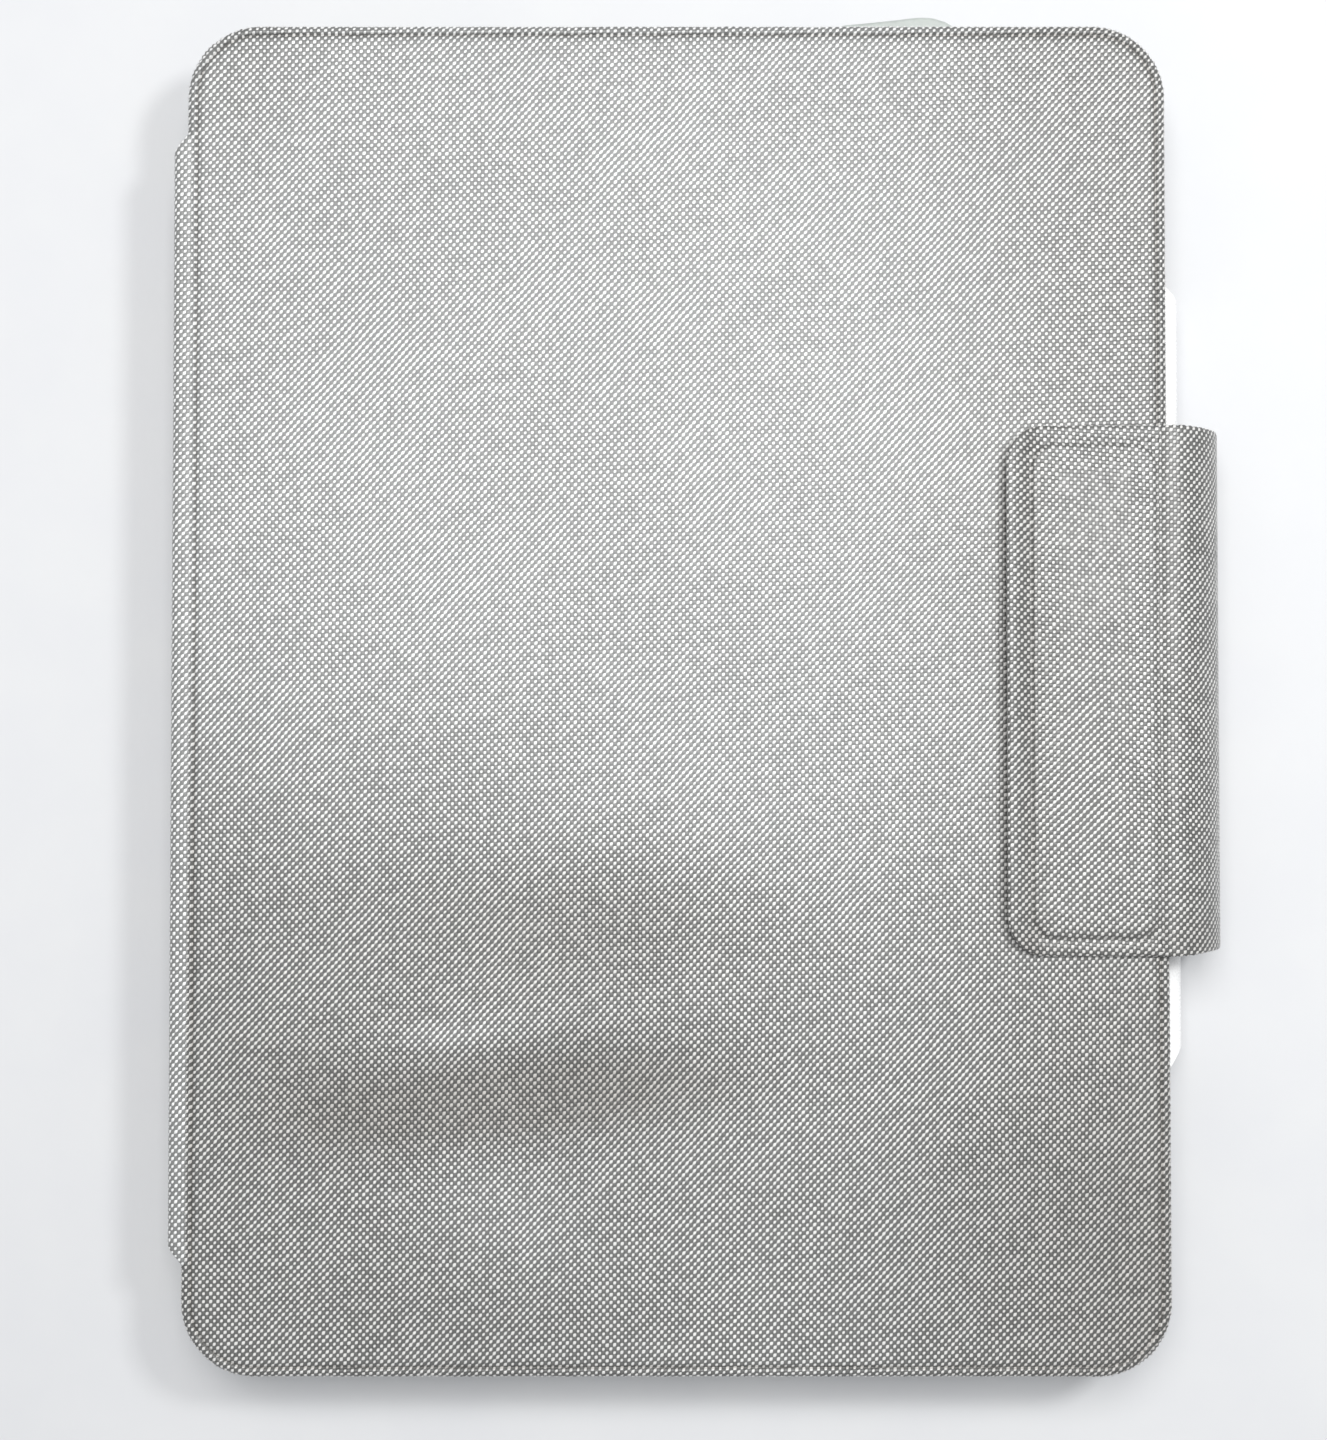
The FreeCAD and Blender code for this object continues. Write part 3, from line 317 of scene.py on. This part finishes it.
def cover_skin(name, box, r, z_out, z_in, top_z, fine, windows=(), amp=0.2, painted_shade=None):
    """Woven skin over a board. The outside face is at z_out, its edge rolls round to z_in.
    fine multiplies the loop count at the rolled edge, so that the threads stand out in the outline."""
    left, right, low, high = box
    sgn = 1.0 if z_out > z_in else -1.0
    mid, half = (z_out + z_in) / 2, abs(z_out - z_in) / 2
    nx, ny, nc = 120, 172, 20
    k = fine
    verts, weave, faces = [], [], []
    P0, N0 = rrect(left, right, low, high, r, nx * k, ny * k, nc * k)
    nf = len(P0)
    rows = []
    for i in range(12):  # underside first, round the edge, then the outside face
        a = -math.pi / 2 + math.pi * i / 11
        rows.append((1.3 - 1.3 * math.cos(a), mid + sgn * half * math.sin(a), 1.33 * (math.pi / 2 - a)))
    rows = [(2.4, z_in + sgn * 0.25, rows[0][2] + 1.1)] + rows
    rows += [(d, z_out - sgn * dip, None) for d, dip in ((1.45, 0.05), (1.68, 0.34), (1.85, 0.46), (2.02, 0.3), (2.4, 0.04), (3.2, 0.0))]
    for d, z, arc in rows:
        rr = r - min(d, 3.2)
        P = P0 - N0 * d
        out = P if arc is None else P + N0 * (arc - 1.33 * 0 + (1.3 - d) * 0)
        if arc is not None:
            out = P0 - N0 * 1.3 + N0 * arc
        uv = threads(out[:, 0], out[:, 1])
        hgt = weave_height(uv)
        body = math.cos(math.pi / 2 * min(1.0, d / 3.2))
        disp = amp * body * np.clip(hgt, -0.7, 1.0)
        nz = 0.0 if arc is None else (z - mid) / half
        nr = 1.0 if arc is None else max(0.0, 1 - nz * nz) ** 0.5
        zz = np.full(len(P), z)
        if arc is None:
            zz = zz + sgn * disp * 0.6
            XY = P
        else:
            XY = P + N0 * (disp * nr)[:, None]
            zz = zz + disp * nz
        verts.append(np.column_stack([XY, zz]))
        weave.append(uv)
    for i in range(len(rows) - 1):
        faces += quads(i * nf, (i + 1) * nf, nf, flip=sgn < 0)
    verts = [np.concatenate(verts)]
    weave = [np.concatenate(weave)]
    last = (len(rows) - 1) * nf
    base = len(rows) * nf
    # coarse loops
    nc_ = nf // k
    P1, N1 = rrect(left, right, low, high, r, nx, ny, nc)
    d = 4.4
    if not windows:
        loops = [4.4, 6.5, 9.0, 11.5]
        for d in loops:
            q = P1 - N1 * d
            verts.append(np.column_stack([q, top_z(q[:, 0], q[:, 1])]))
            weave.append(threads(q[:, 0], q[:, 1]))
        for i in range(nc_):
            j = (i + 1) % nc_
            outer = [last + (i * k + m) % nf for m in range(k + 1)]
            f = tuple(outer + [base + j, base + i])
            faces.append(f if sgn > 0 else f[::-1])
        for i in range(len(loops) - 1):
            faces += quads(base + i * nc_, base + (i + 1) * nc_, nc_, flip=sgn < 0)
        # rectangle grid whose border has the same count as the loops
        na, nb = nx + nc, ny + nc
        e = 15.0
        gx = np.linspace(left + e, right - e, na + 1)
        gy = np.linspace(low + e, high - e, nb + 1)
        X, Y = np.meshgrid(gx, gy)
        start = base + len(loops) * nc_
        verts.append(np.column_stack([X.ravel(), Y.ravel(), top_z(X.ravel(), Y.ravel())]))
        weave.append(threads(X.ravel(), Y.ravel()))
        w = na + 1
        border = [start + i for i in range(na)] + [start + j * w + na for j in range(nb)]
        border += [start + nb * w + na - i for i in range(na)] + [start + (nb - j) * w for j in range(nb)]
        ring = base + (len(loops) - 1) * nc_
        for i in range(nc_):
            j = (i + 1) % nc_
            f = (ring + i, ring + j, border[j], border[i])
            faces.append(f if sgn > 0 else f[::-1])
        for j in range(nb):
            for i in range(na):
                a = start + j * w + i
                f = (a, a + 1, a + w + 1, a + w)
                faces.append(f if sgn > 0 else f[::-1])
    else:
        # flat face with windows: triangulate between the rolled edge and the windows' rolled edges
        ring_pts = P0 - N0 * 3.2
        pts2 = [tuple(p) for p in ring_pts]
        edges = [(i, (i + 1) % nf) for i in range(nf)]
        ids = [last + i for i in range(nf)]
        for wp, wn in windows:
            n = len(wp)
            q = wp + wn * 0.9
            s0 = len(pts2)
            pts2 += [tuple(p) for p in q]
            edges += [(s0 + i, s0 + (i + 1) % n) for i in range(n)]
            first = base + sum(len(v) for v in verts[1:])
            wrap = []
            for t in range(7):
                a = math.pi / 2 * t / 6
                dd = 0.9 - 0.9 * math.sin(a)
                wrap.append((dd, z_out + (z_in - z_out) / abs(z_in - z_out) * 0.9 * (1 - math.cos(a))))
            wrap.append((0.0, 2.05))
            for dd, z in wrap:
                p = wp + wn * dd
                verts.append(np.column_stack([p, np.full(n, z)]))
                ex = wp + wn * (dd - (z if dd < 0.01 else 0.4 * (0.9 - dd)))
                weave.append(threads(ex[:, 0], ex[:, 1]))
            for i in range(len(wrap) - 1):
                faces += quads(first + i * n, first + (i + 1) * n, n, flip=False)
            ids += [first + i for i in range(n)]
        res = delaunay_2d_cdt([Vector(p) for p in pts2], edges, [], 1, 1e-7)
        new, tris, orig = res[0], res[2], res[3]
        lookup = {}
        allv = np.concatenate(verts)
        extra = []
        for i, o in enumerate(orig):
            if o:
                lookup[i] = ids[o[0]]
            else:
                lookup[i] = len(allv) + len(extra)
                extra.append((new[i][0], new[i][1], z_out))
        if extra:
            verts.append(np.array(extra))
            weave.append(threads(np.array(extra)[:, 0], np.array(extra)[:, 1]))
        polys = [np.array(wp) for wp, _ in windows]
        for t in tris:
            c = sum((Vector(new[i]) for i in t), Vector((0, 0))) / 3
            if any(inside(c, p) for p in polys):
                continue
            a, b_, c_ = [Vector(new[i]) for i in t[:3]]
            area = (b_ - a).cross(c_ - a)
            f = tuple(lookup[i] for i in t)
            if (area > 0) != (sgn > 0):
                f = f[::-1]
            faces.append(f)
    return make(name, np.concatenate(verts), faces, np.concatenate(weave), painted_shade=painted_shade)


def inside(p, poly):
    x, y = p[0], p[1]
    x0, y0 = poly[:, 0], poly[:, 1]
    x1, y1 = np.roll(x0, -1), np.roll(y0, -1)
    hit = ((y0 > y) != (y1 > y)) & (x < (x1 - x0) * (y - y0) / np.where(y1 == y0, 1e-12, y1 - y0) + x0)
    return bool(hit.sum() % 2)


def smooth01(t):
    t = np.clip(t, 0, 1)
    return t * t * (3 - 2 * t)


def resample(path, step):
    path = np.asarray(path, float)
    seg = np.linalg.norm(np.diff(path, axis=0), axis=1)
    s = np.concatenate([[0], np.cumsum(seg)])
    n = max(2, int(round(s[-1] / step)))
    t = np.linspace(0, s[-1], n + 1)
    return np.column_stack([np.interp(t, s, path[:, i]) for i in range(path.shape[1])]), t


def arc2(cx, cz, r, a0, a1, n):
    a = np.radians(np.linspace(a0, a1, n + 1))
    return [(cx + r * math.cos(t), cz + r * math.sin(t)) for t in a]


def ribbon(name, path, y_low, y_high, thick, step=0.25, ystep=0.4, s0=0.0, amp=0.08, skew=0.0, side=1.0, fray=0.1, mat="woven_fabric", along=1.0, painted_shade=None):
    """A strip of cloth with a real thickness: the cross-section path (x, z) of its outer face, carried along Y.
    y_low and y_high give the ends as functions of the path's point, so an end can be cut at an angle."""
    P, s = resample(path, step)
    for _ in range(2):
        P[1:-1] = (P[:-2] + 2 * P[1:-1] + P[2:]) / 4
    T = np.gradient(P, axis=0)
    T /= np.linalg.norm(T, axis=1)[:, None]
    Nn = np.column_stack([T[:, 1], -T[:, 0]]) * side  # outward
    lo = np.array([y_low(p, t) for p, t in zip(P, s)])
    hi = np.array([y_high(p, t) for p, t in zip(P, s)])
    ny = int((hi - lo).max() / ystep)
    f = np.linspace(0, 1, ny + 1)
    Y = lo[:, None] + (hi - lo)[:, None] * f[None, :]
    S = np.repeat(s[:, None], ny + 1, 1)
    C = s0 + along * S
    uv = np.stack([C / WARP, (Y - skew * C) / WEFT], -1)
    hgt = weave_height(uv)
    m = len(P)
    ends = np.clip(np.minimum(f, 1 - f) * (hi - lo).max() / 0.5, 0, 1)[None, :]
    rnd = 0.22 * (1 - ends) ** 2
    outer = amp * np.clip(hgt, -0.4, 1) - rnd
    ox = P[:, 0][:, None] + Nn[:, 0][:, None] * outer
    oz = P[:, 1][:, None] + Nn[:, 1][:, None] * outer
    fr = fray * weave_height(np.stack([uv[:, :, 0], np.round(uv[:, :, 1])], -1))
    Yo = Y.copy()
    Yo[:, 0] -= fr[:, 0]
    Yo[:, -1] += fr[:, -1]
    inn = -thick + rnd
    ix = P[:, 0][:, None] + Nn[:, 0][:, None] * inn
    iz = P[:, 1][:, None] + Nn[:, 1][:, None] * inn
    w = 2 * (ny + 1)
    verts = np.zeros((m, w, 3))
    weave = np.zeros((m, w, 2))
    verts[:, :ny + 1] = np.stack([ox, Yo, oz], -1)
    verts[:, ny + 1:] = np.stack([ix, Yo, iz], -1)[:, ::-1]
    weave[:, :ny + 1] = uv
    weave[:, ny + 1:] = uv[:, ::-1]
    faces = []
    for i in range(m - 1):
        faces += quads(i * w, (i + 1) * w, w, flip=side < 0)
    for row, flip in ((0, side > 0), (m - 1, side < 0)):
        b = row * w
        for j in range(ny):
            q = (b + j, b + j + 1, b + w - 2 - j, b + w - 1 - j)
            faces.append(q[::-1] if flip else q)
    return make(name, verts.reshape(-1, 3), faces, weave.reshape(-1, 2), mat, painted_shade=painted_shade)


# ------------------------------------------------------------------ front cover


def bumpy(x, y):
    """Gentle unevenness of the cloth-covered board and the shallow dents in its lower part, mm."""
    z = 0.05 * np.sin(x / 31.0 + 0.6) * np.cos(y / 43.0 + 0.4) + 0.025 * np.sin(x / 11.0 + y / 17.0)
    ridge = -61.0 + 0.10 * (x + 20)  # light streak with a hollow under it
    along = np.exp(-((x + 22) / 38.0) ** 2)
    z += 0.22 * along * np.exp(-((y - ridge) / 5.0) ** 2)
    z -= 0.42 * along * np.exp(-((y - ridge + 13) / 10.0) ** 2)
    z -= 0.22 * np.exp(-((x + 22) / 45.0) ** 2 - ((y + 42) / 14.0) ** 2)
    return z


# Painted light on the front cover cloth: painted shadows and shade, lowered where a painted highlight goes
def front_painted_shade(x, y):
    ridge = -61.0 + 0.10 * (x + 20)
    # painted shadow: darker towards the bottom, more on the left
    lower = smooth01((6.0 - y - 0.25 * x) / 84.0) * (0.42 + 0.18 * smooth01((30.0 - x) / 90.0))
    # painted shadow: dark blotches in the lower left, one in the hollow under the ridge
    blot = 0.85 * np.exp(-((x + 26) / 34.0) ** 2 - ((y - ridge + 13) / 7.5) ** 2)
    blot += 0.42 * np.exp(-((x + 14) / 36.0) ** 2 - ((y + 42) / 13.0) ** 2)
    blot += 0.35 * np.exp(-((x + 62) / 22.0) ** 2 - ((y + 78 + 0.35 * (x + 62)) / 13.0) ** 2)
    # painted highlight: lighter patches, one along the ridge
    pale = 0.30 * np.exp(-((x + 40) / 26.0) ** 2 - ((y + 92 + 0.3 * (x + 40)) / 13.0) ** 2)
    pale += 0.30 * np.exp(-((x + 42) / 12.0) ** 2 - ((y - ridge) / 2.6) ** 2)
    qx, qy = np.abs(x) - 78.1, np.abs(y) - 112.4
    d = 13.6 - np.hypot(np.maximum(qx, 0), np.maximum(qy, 0)) - np.minimum(np.maximum(qx, qy), 0)
    # painted shade in the crease groove 1.86 mm inside the outer edge
    line = 0.6 * np.exp(-((d - 1.86) / 0.24) ** 2)
    line += 0.5 * np.exp(-((x - 61.6) / 1.3) ** 2) * smooth01((48.0 - np.abs(y - 1.0)) / 14.0)  # painted shadow of the flap's raised free edge
    # painted shade: darker towards the right side
    band = 0.5 * smooth01((x - 22.0) / 72.0)
    # darker towards the top left corner and along the top edge
    corner = 0.22 * np.exp(-((x + 84) / 14.0) ** 2 - ((y - 118) / 16.0) ** 2) + 0.12 * smooth01((y - 119) / 6.0)
    return np.clip(lower * 0.82 + blot - pale + corner + line + band, 0.0, 1.0)


def front_z(x, y):
    dx = np.minimum(x + 91.7, 91.7 - x)
    dy = np.minimum(y + 126.0, 126.0 - y)
    fade = smooth01((np.minimum(dx, dy) - 3.2) / 12.0)
    return 20.6 + fade * (0.12 + bumpy(x, y))


front = cover_skin("front_cover_skin", (-91.7, 91.7, -126.0, 126.0), 13.6, 20.6, 17.8, front_z, 5, amp=0.28, painted_shade=front_painted_shade)
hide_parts("front_cover_fabric")
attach(front, "front_cover")

# ------------------------------------------------------------------ back cover

win_p, win_n = rrect(-80.0, 2.0, -100.0, 100.0, 6.0, 70, 170, 12)
hole = np.linspace(0, 2 * np.pi, 97)[:-1]
cam_n = np.stack([np.cos(hole), np.sin(hole)], -1)
cam_p = np.array([72.0, 108.0]) + 10.0 * cam_n
back = cover_skin("back_cover_skin", (-92.0, 95.5, -128.0, 128.0), 14.0, 0.0, 2.8, None, 3, windows=[(win_p, win_n), (cam_p, cam_n)])
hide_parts("back_cover_fabric")
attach(back, "back_cover")

# ------------------------------------------------------------------ spine cloth


def spine_end(sign):
    def f(p, t):
        return sign * (102.2 + 3.2 * min(1.0, max(0.0, (p[0] + 94.3) / 2.8)))
    return f


top_path = [(-90.2, 20.2), (-90.6, 20.4), (-91.0, 20.58), (-91.6, 20.64), (-92.2, 20.6)] + arc2(-92.85, 19.1, 1.5, 86, 180, 16) + [(-94.37, 17.0), (-94.4, 14.0), (-94.42, 10.3)]
low_path = [(-94.42, 10.3), (-94.4, 7.0), (-94.37, 3.6)] + arc2(-92.95, 1.45, 1.42, 180, 262, 16) + [(-92.3, 0.0), (-91.5, 0.0), (-91.0, 0.12), (-90.6, 0.4), (-90.2, 0.6)]
upper = ribbon("spine_skin_upper", top_path, spine_end(-1), spine_end(1), 0.6, side=1.0, skew=0.037, amp=0.1, s0=-90.2, along=-1.0)
lower = ribbon("spine_skin_lower", low_path, spine_end(-1), spine_end(1), 0.6, side=1.0, s0=-90.2 - resample(top_path, 0.25)[1][-1], skew=0.037, ystep=0.8, along=-1.0)
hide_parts("spine_fabric", "front_fold")
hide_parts("rear_fold")
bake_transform(upper)
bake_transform(lower)
inner_top = [(-89.8, 17.86), (-91.0, 17.8), (-91.9, 17.5), (-92.4, 16.8), (-92.55, 15.6)]
inner_low = [(-92.55, 5.0), (-92.4, 3.8), (-91.95, 3.1), (-91.0, 2.83), (-90.2, 2.82)]
for nm, path, other, st, en in (
    ("spine_lining_upper", inner_top, "front_cover", (-0.0926, 0, 0.0158), (-0.0905, 0, 0.0179)),
    ("spine_lining_lower", inner_low, "back_cover", (-0.0926, 0, 0.0048), (-0.0908, 0, 0.0028)),
):
    o = ribbon(nm, path, lambda p, t: -102.0, lambda p, t: 102.0, 0.35, step=0.3, ystep=3.0, side=1.0, amp=0.0, fray=0.0, mat="lining")
    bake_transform(o)

# ------------------------------------------------------------------ flap

FL, FH = -48.3, 50.3


def flap_low(p, t):
    return FL + 0.9 * smooth01((p[0] - 92.0) / 11.0)


def flap_high(p, t):
    return FH - 0.3 * smooth01((p[0] - 92.0) / 11.0)


def flap_painted_shade(x, y):
    # painted shade along the plate's left edge and along the lower end
    plate_edge_shade = 0.25 * np.exp(-((x - 66.0) / 3.0) ** 2) + 0.2 * np.exp(-((y + 46) / 5.0) ** 2)
    # painted shade: the whole flap darker than the cover, more on its right-hand wrap
    return np.clip(0.44 + 0.10 * smooth01((x - 88.0) / 6.0) + plate_edge_shade, 0, 1)


band_low = [(94.6, 1.0), (95.2, 0.6), (95.9, 0.45)] + arc2(91.44, 11.02, 11.66, -63, 0, 40)
band_high = arc2(91.44, 11.02, 11.66, 0, 82, 50) + [(92.0, 22.6), (91.0, 22.35), (89.9, 21.85), (89.3, 21.55)]
len_low, len_high = resample(band_low, 0.23)[1][-1], resample(band_high, 0.23)[1][-1]
flap_a = ribbon("flap_skin_lower", band_low, flap_low, flap_high, 1.1, step=0.23, ystep=0.25, side=1.0, skew=-0.078, s0=89.3 + len_high + len_low, along=-1.0, painted_shade=flap_painted_shade)
flap_b = ribbon("flap_skin_upper", band_high, flap_low, flap_high, 1.1, step=0.23, ystep=0.25, side=1.0, s0=89.3 + len_high, skew=-0.078, along=-1.0, painted_shade=flap_painted_shade)
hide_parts("flap_side_fabric", "flap_lower_fold")
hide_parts("flap_upper_fold")
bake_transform(flap_a)
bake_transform(flap_b)


def tab_lift(x, y):
    """The free edge stands up a little from the cover, more towards its ends."""
    edge = smooth01((68.5 - x) / 7.5)
    return edge * (1.9 + 0.35 * np.cos((y - 8) / 24.0) + 0.08 * np.sin(y / 7.0 + 1.0)) + 0.08 * smooth01((abs(y - 1) - 40) / 10.0)


def tab_outline(d, nx, ny, nc):
    """Outline of the tab, d mm inside; only the two corners of the free edge are round."""
    P, N = rrect(61.1, 90.4, FL, FH, 7.5, nx, ny, nc)
    Q, _ = rrect(61.1, 90.4, FL, FH, 0.8, nx, ny, nc)
    t = smooth01((P[:, 0] - 76.0) / 6.0)[:, None]
    P = P * (1 - t) + Q * t
    T = np.roll(P, -1, 0) - np.roll(P, 1, 0)
    T /= np.linalg.norm(T, axis=1)[:, None] + 1e-12
    N = np.column_stack([T[:, 1], -T[:, 0]])
    inset = N * d
    inset[:, 0] *= np.where(N[:, 0] > 0, 0.22, 1.0)
    return P - inset, N


nx_, ny_, nc_ = 90, 300, 40
loops, uvs = [], []
base_out, nout = tab_outline(0.0, nx_, ny_, nc_)
free = 1 - smooth01((base_out[:, 0] - 88.6) / 1.2)  # no rolled edge where the tab runs on into the fold
for d, z, arc in ((3.0, 20.84, 4.6), (1.2, 20.82, 2.8), (0.6, 20.86, 2.2), (0.22, 21.0, 1.75), (0.03, 21.25, 1.4), (0.0, 21.5, 1.15), (0.12, 21.78, 0.85), (0.35, 21.96, 0.55), (0.75, 22.06, 0.15), (1.3, 22.1, None), (2.2, 22.08, None)):
    P, _ = tab_outline(d, nx_, ny_, nc_)
    out = P if arc is None else base_out - nout * 0.9 + nout * arc
    uv = np.stack([out[:, 0] / WARP, (out[:, 1] + 0.078 * out[:, 0]) / WEFT], -1)
    h = 0.1 * np.clip(weave_height(uv), -0.4, 1)
    side = 1.0 if d < 0.5 else 0.3
    P = P + nout * (h * side * free)[:, None]
    zz = z + tab_lift(P[:, 0], P[:, 1]) + (h * 0.5 if z > 21.6 else 0)
    loops.append(np.column_stack([P, zz]))
    uvs.append(uv)
plate_a, _ = rrect(65.6, 89.5, -45.2, 47.1, 4.8, nx_, ny_, nc_)
plate_b, pn = rrect(66.3, 88.8, -44.5, 46.4, 4.1, nx_, ny_, nc_)
tab22, _ = tab_outline(2.2, nx_, ny_, nc_)


def plate_wave(x, y):
    return 0.05 * np.sin(y / 13.0 + 0.5) * np.sin(x / 7.0)


for P, z in (
    (tab22 * 0.4 + plate_a * 0.6, 22.04), (plate_a, 21.98), (plate_a * 0.66 + plate_b * 0.34, 22.12), (plate_a * 0.33 + plate_b * 0.67, 22.55), (plate_b, 22.84),
    (plate_b - pn * 0.4, 22.93), (plate_b - pn * 0.9, 22.96), (plate_b - pn * 2.0, 22.97), (plate_b - pn * 3.2, 22.97),
):
    uv = np.stack([P[:, 0] / WARP, (P[:, 1] + 0.078 * P[:, 0]) / WEFT], -1)
    h = 0.07 * np.clip(weave_height(uv), -0.4, 1)
    lift = tab_lift(P[:, 0], P[:, 1]) * smooth01((67.5 - P[:, 0]) / 3.0)
    loops.append(np.column_stack([P, z + h + lift + (plate_wave(P[:, 0], P[:, 1]) if z > 22.9 else 0)]))
    uvs.append(uv)
n = len(base_out)
faces = []
for i in range(len(loops) - 1):
    faces += quads(i * n, (i + 1) * n, n)
na, nb = nx_ + nc_, ny_ + nc_
gx, gy = np.linspace(71.0, 84.4, na + 1), np.linspace(-39.8, 41.7, nb + 1)
X, Y = np.meshgrid(gx, gy)
X, Y = X.ravel(), Y.ravel()
uv = np.stack([X / WARP, (Y + 0.078 * X) / WEFT], -1)
start = len(loops) * n
loops.append(np.column_stack([X, Y, 22.97 + plate_wave(X, Y) + 0.07 * np.clip(weave_height(uv), -0.4, 1)]))
uvs.append(uv)
w = na + 1
border = [start + i for i in range(na)] + [start + j * w + na for j in range(nb)]
border += [start + nb * w + na - i for i in range(na)] + [start + (nb - j) * w for j in range(nb)]
ring = start - n
for i in range(n):
    j = (i + 1) % n
    faces.append((ring + i, ring + j, border[j], border[i]))
for j in range(nb):
    for i in range(na):
        a = start + j * w + i
        faces.append((a, a + 1, a + w + 1, a + w))
tab = make("flap_tab_skin", np.concatenate(loops), faces, np.concatenate(uvs), painted_shade=flap_painted_shade)
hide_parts("flap_tab_fabric")
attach(tab, "flap_tab")

# lining under the tab
loops = []
for d, z in ((1.6, 21.0), (1.6, 20.78), (1.75, 20.72), (2.2, 20.7), (3.0, 20.7)):
    P, _ = tab_outline(d, 40, 120, 16)
    loops.append(np.column_stack([P, z + tab_lift(P[:, 0], P[:, 1])]))
n = len(loops[0])
faces = []
for i in range(len(loops) - 1):
    faces += quads(i * n, (i + 1) * n, n, flip=True)
faces.append(tuple(range((len(loops) - 1) * n, len(loops) * n))[::-1])
tab_in = make("flap_tab_lining_panel", np.concatenate(loops), faces, None, "lining")
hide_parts("flap_tab_lining")
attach(tab_in, "flap_tab")

# ------------------------------------------------------------------ soft cover of the top button
ridge = [(32.0, 124.8), (32.0, 126.2), (31.5, 126.8), (31.35, 128.8), (31.7, 130.0), (36.0, 130.4), (42.0, 131.0), (46.8, 131.6), (49.6, 131.5), (52.2, 130.7), (53.7, 129.8), (54.0, 128.6), (53.9, 126.8), (53.3, 126.2), (53.3, 124.8)]
crest = resample(ridge, 0.4)[0]
for _ in range(3):
    crest[1:-1] = (crest[:-2] + 2 * crest[1:-1] + crest[2:]) / 4
mid_x = 42.65
loops = []
for i in range(15):
    a = -math.pi / 2 + math.pi * i / 14
    back_off = 0.75 * (1 - math.cos(a)) ** 2
    x = mid_x + (crest[:, 0] - mid_x) * (1 - 0.03 * (1 - math.cos(a)))
    y = np.maximum(124.6, crest[:, 1] - back_off)
    loops.append(np.column_stack([x, y, np.full(len(x), 7.3 + 2.95 * math.sin(a))]))
n = len(crest)
faces = []
for i in range(len(loops) - 1):
    for j in range(n - 1):
        faces.append((i * n + j, (i + 1) * n + j, (i + 1) * n + j + 1, i * n + j + 1))
    faces.append((i * n, i * n + n - 1, (i + 1) * n + n - 1, (i + 1) * n))
faces.append(tuple(range(n)))
faces.append(tuple(range((len(loops) - 1) * n, len(loops) * n))[::-1])
bump = make("power_button_bump", np.concatenate(loops), faces, None, "soft_tpu")
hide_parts("power_button_cover")
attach(bump, "power_button_cover")

# ------------------------------------------------------------------ kickstand skin
rows = []
nxk, nyk, nck = 150, 360, 24
Pk, Nk = rrect(-79.4, -2.0, -99.4, 99.4, 5.4, nxk, nyk, nck)
for d, z, arc in ((1.4, 1.95, 2.6), (0.7, 2.0, 2.1), (0.2, 1.85, 1.7), (0.0, 1.4, 1.3), (0.0, 0.7, 0.9), (0.15, 0.28, 0.6), (0.45, 0.06, 0.3), (0.9, 0.0, None), (2.0, 0.0, None)):
    P = Pk - Nk * d
    out = P if arc is None else Pk - Nk * 0.9 + Nk * arc
    uv = threads(out[:, 0], out[:, 1])
    rows.append((np.column_stack([P, np.full(len(P), z)]), uv))
n = len(Pk)
faces = []
for i in range(len(rows) - 1):
    faces += quads(i * n, (i + 1) * n, n, flip=True)
faces.append(tuple(range((len(rows) - 1) * n, len(rows) * n))[::-1])
kick = make("kickstand_skin", np.concatenate([r[0] for r in rows]), faces, np.concatenate([r[1] for r in rows]))
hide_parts("kickstand_fabric")
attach(kick, "kickstand")
strip = ribbon("kickstand_hinge_cloth", [(-4.0, 0.02), (-2.2, 0.0), (0.0, 0.0), (2.2, 0.0), (4.0, 0.02)], lambda p, t: -98.0, lambda p, t: 98.0, 0.3, step=0.3, ystep=1.0, side=1.0, amp=0.0, fray=0.0, skew=0.037, s0=-4.0)
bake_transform(strip)

# ------------------------------------------------------------------ floor, light, camera
floor_mat = plain("studio_floor", (0.635, 0.64, 0.655), (0.66, 0.664, 0.672), (0.7, 0.9), 60, 0.0003, 0.15)
bpy.ops.mesh.primitive_plane_add(size=4.0, location=(0, 0, -0.0003))
floor = bpy.context.object
floor.name = "floor"
floor.data.materials.append(floor_mat)

world = bpy.data.worlds.new("studio")
bpy.context.scene.world = world
world.use_nodes = True
world.node_tree.nodes["Background"].inputs[0].default_value = (0.95, 0.97, 1.0, 1)
world.node_tree.nodes["Background"].inputs[1].default_value = 0.50


def area(name, loc, target, size, energy, color=(1, 1, 1)):
    d = bpy.data.lights.new(name, "AREA")
    d.shape = "SQUARE"
    d.size = size
    d.energy = energy
    d.color = color
    o = bpy.data.objects.new(name, d)
    o.location = loc
    o.rotation_euler = (Vector(target) - Vector(loc)).to_track_quat("-Z", "Y").to_euler()
    bpy.context.scene.collection.objects.link(o)


area("key_light", (-0.04, 0.24, 0.85), (-0.02, 0.03, 0), 0.46, 5.6, (1.0, 0.995, 0.985))
area("side_light", (0.29, 0.17, 0.54), (0, 0, 0), 0.10, 1.45, (0.99, 1.0, 1.0))

cam = bpy.data.objects.new("camera", bpy.data.cameras.new("camera"))
bpy.context.scene.collection.objects.link(cam)
bpy.context.scene.camera = cam
cam.data.sensor_width = 36.0
cam.data.lens = 51.07
eye, look = Vector((-2.4, -14.5, 400.6)) * MM, Vector((-2.4, -4.55, 20.6)) * MM
cam.location = eye
cam.rotation_euler = (look - eye).to_track_quat("-Z", "Y").to_euler()
cam.data.clip_start = 0.01
bpy.context.scene.view_settings.view_transform = "Standard"
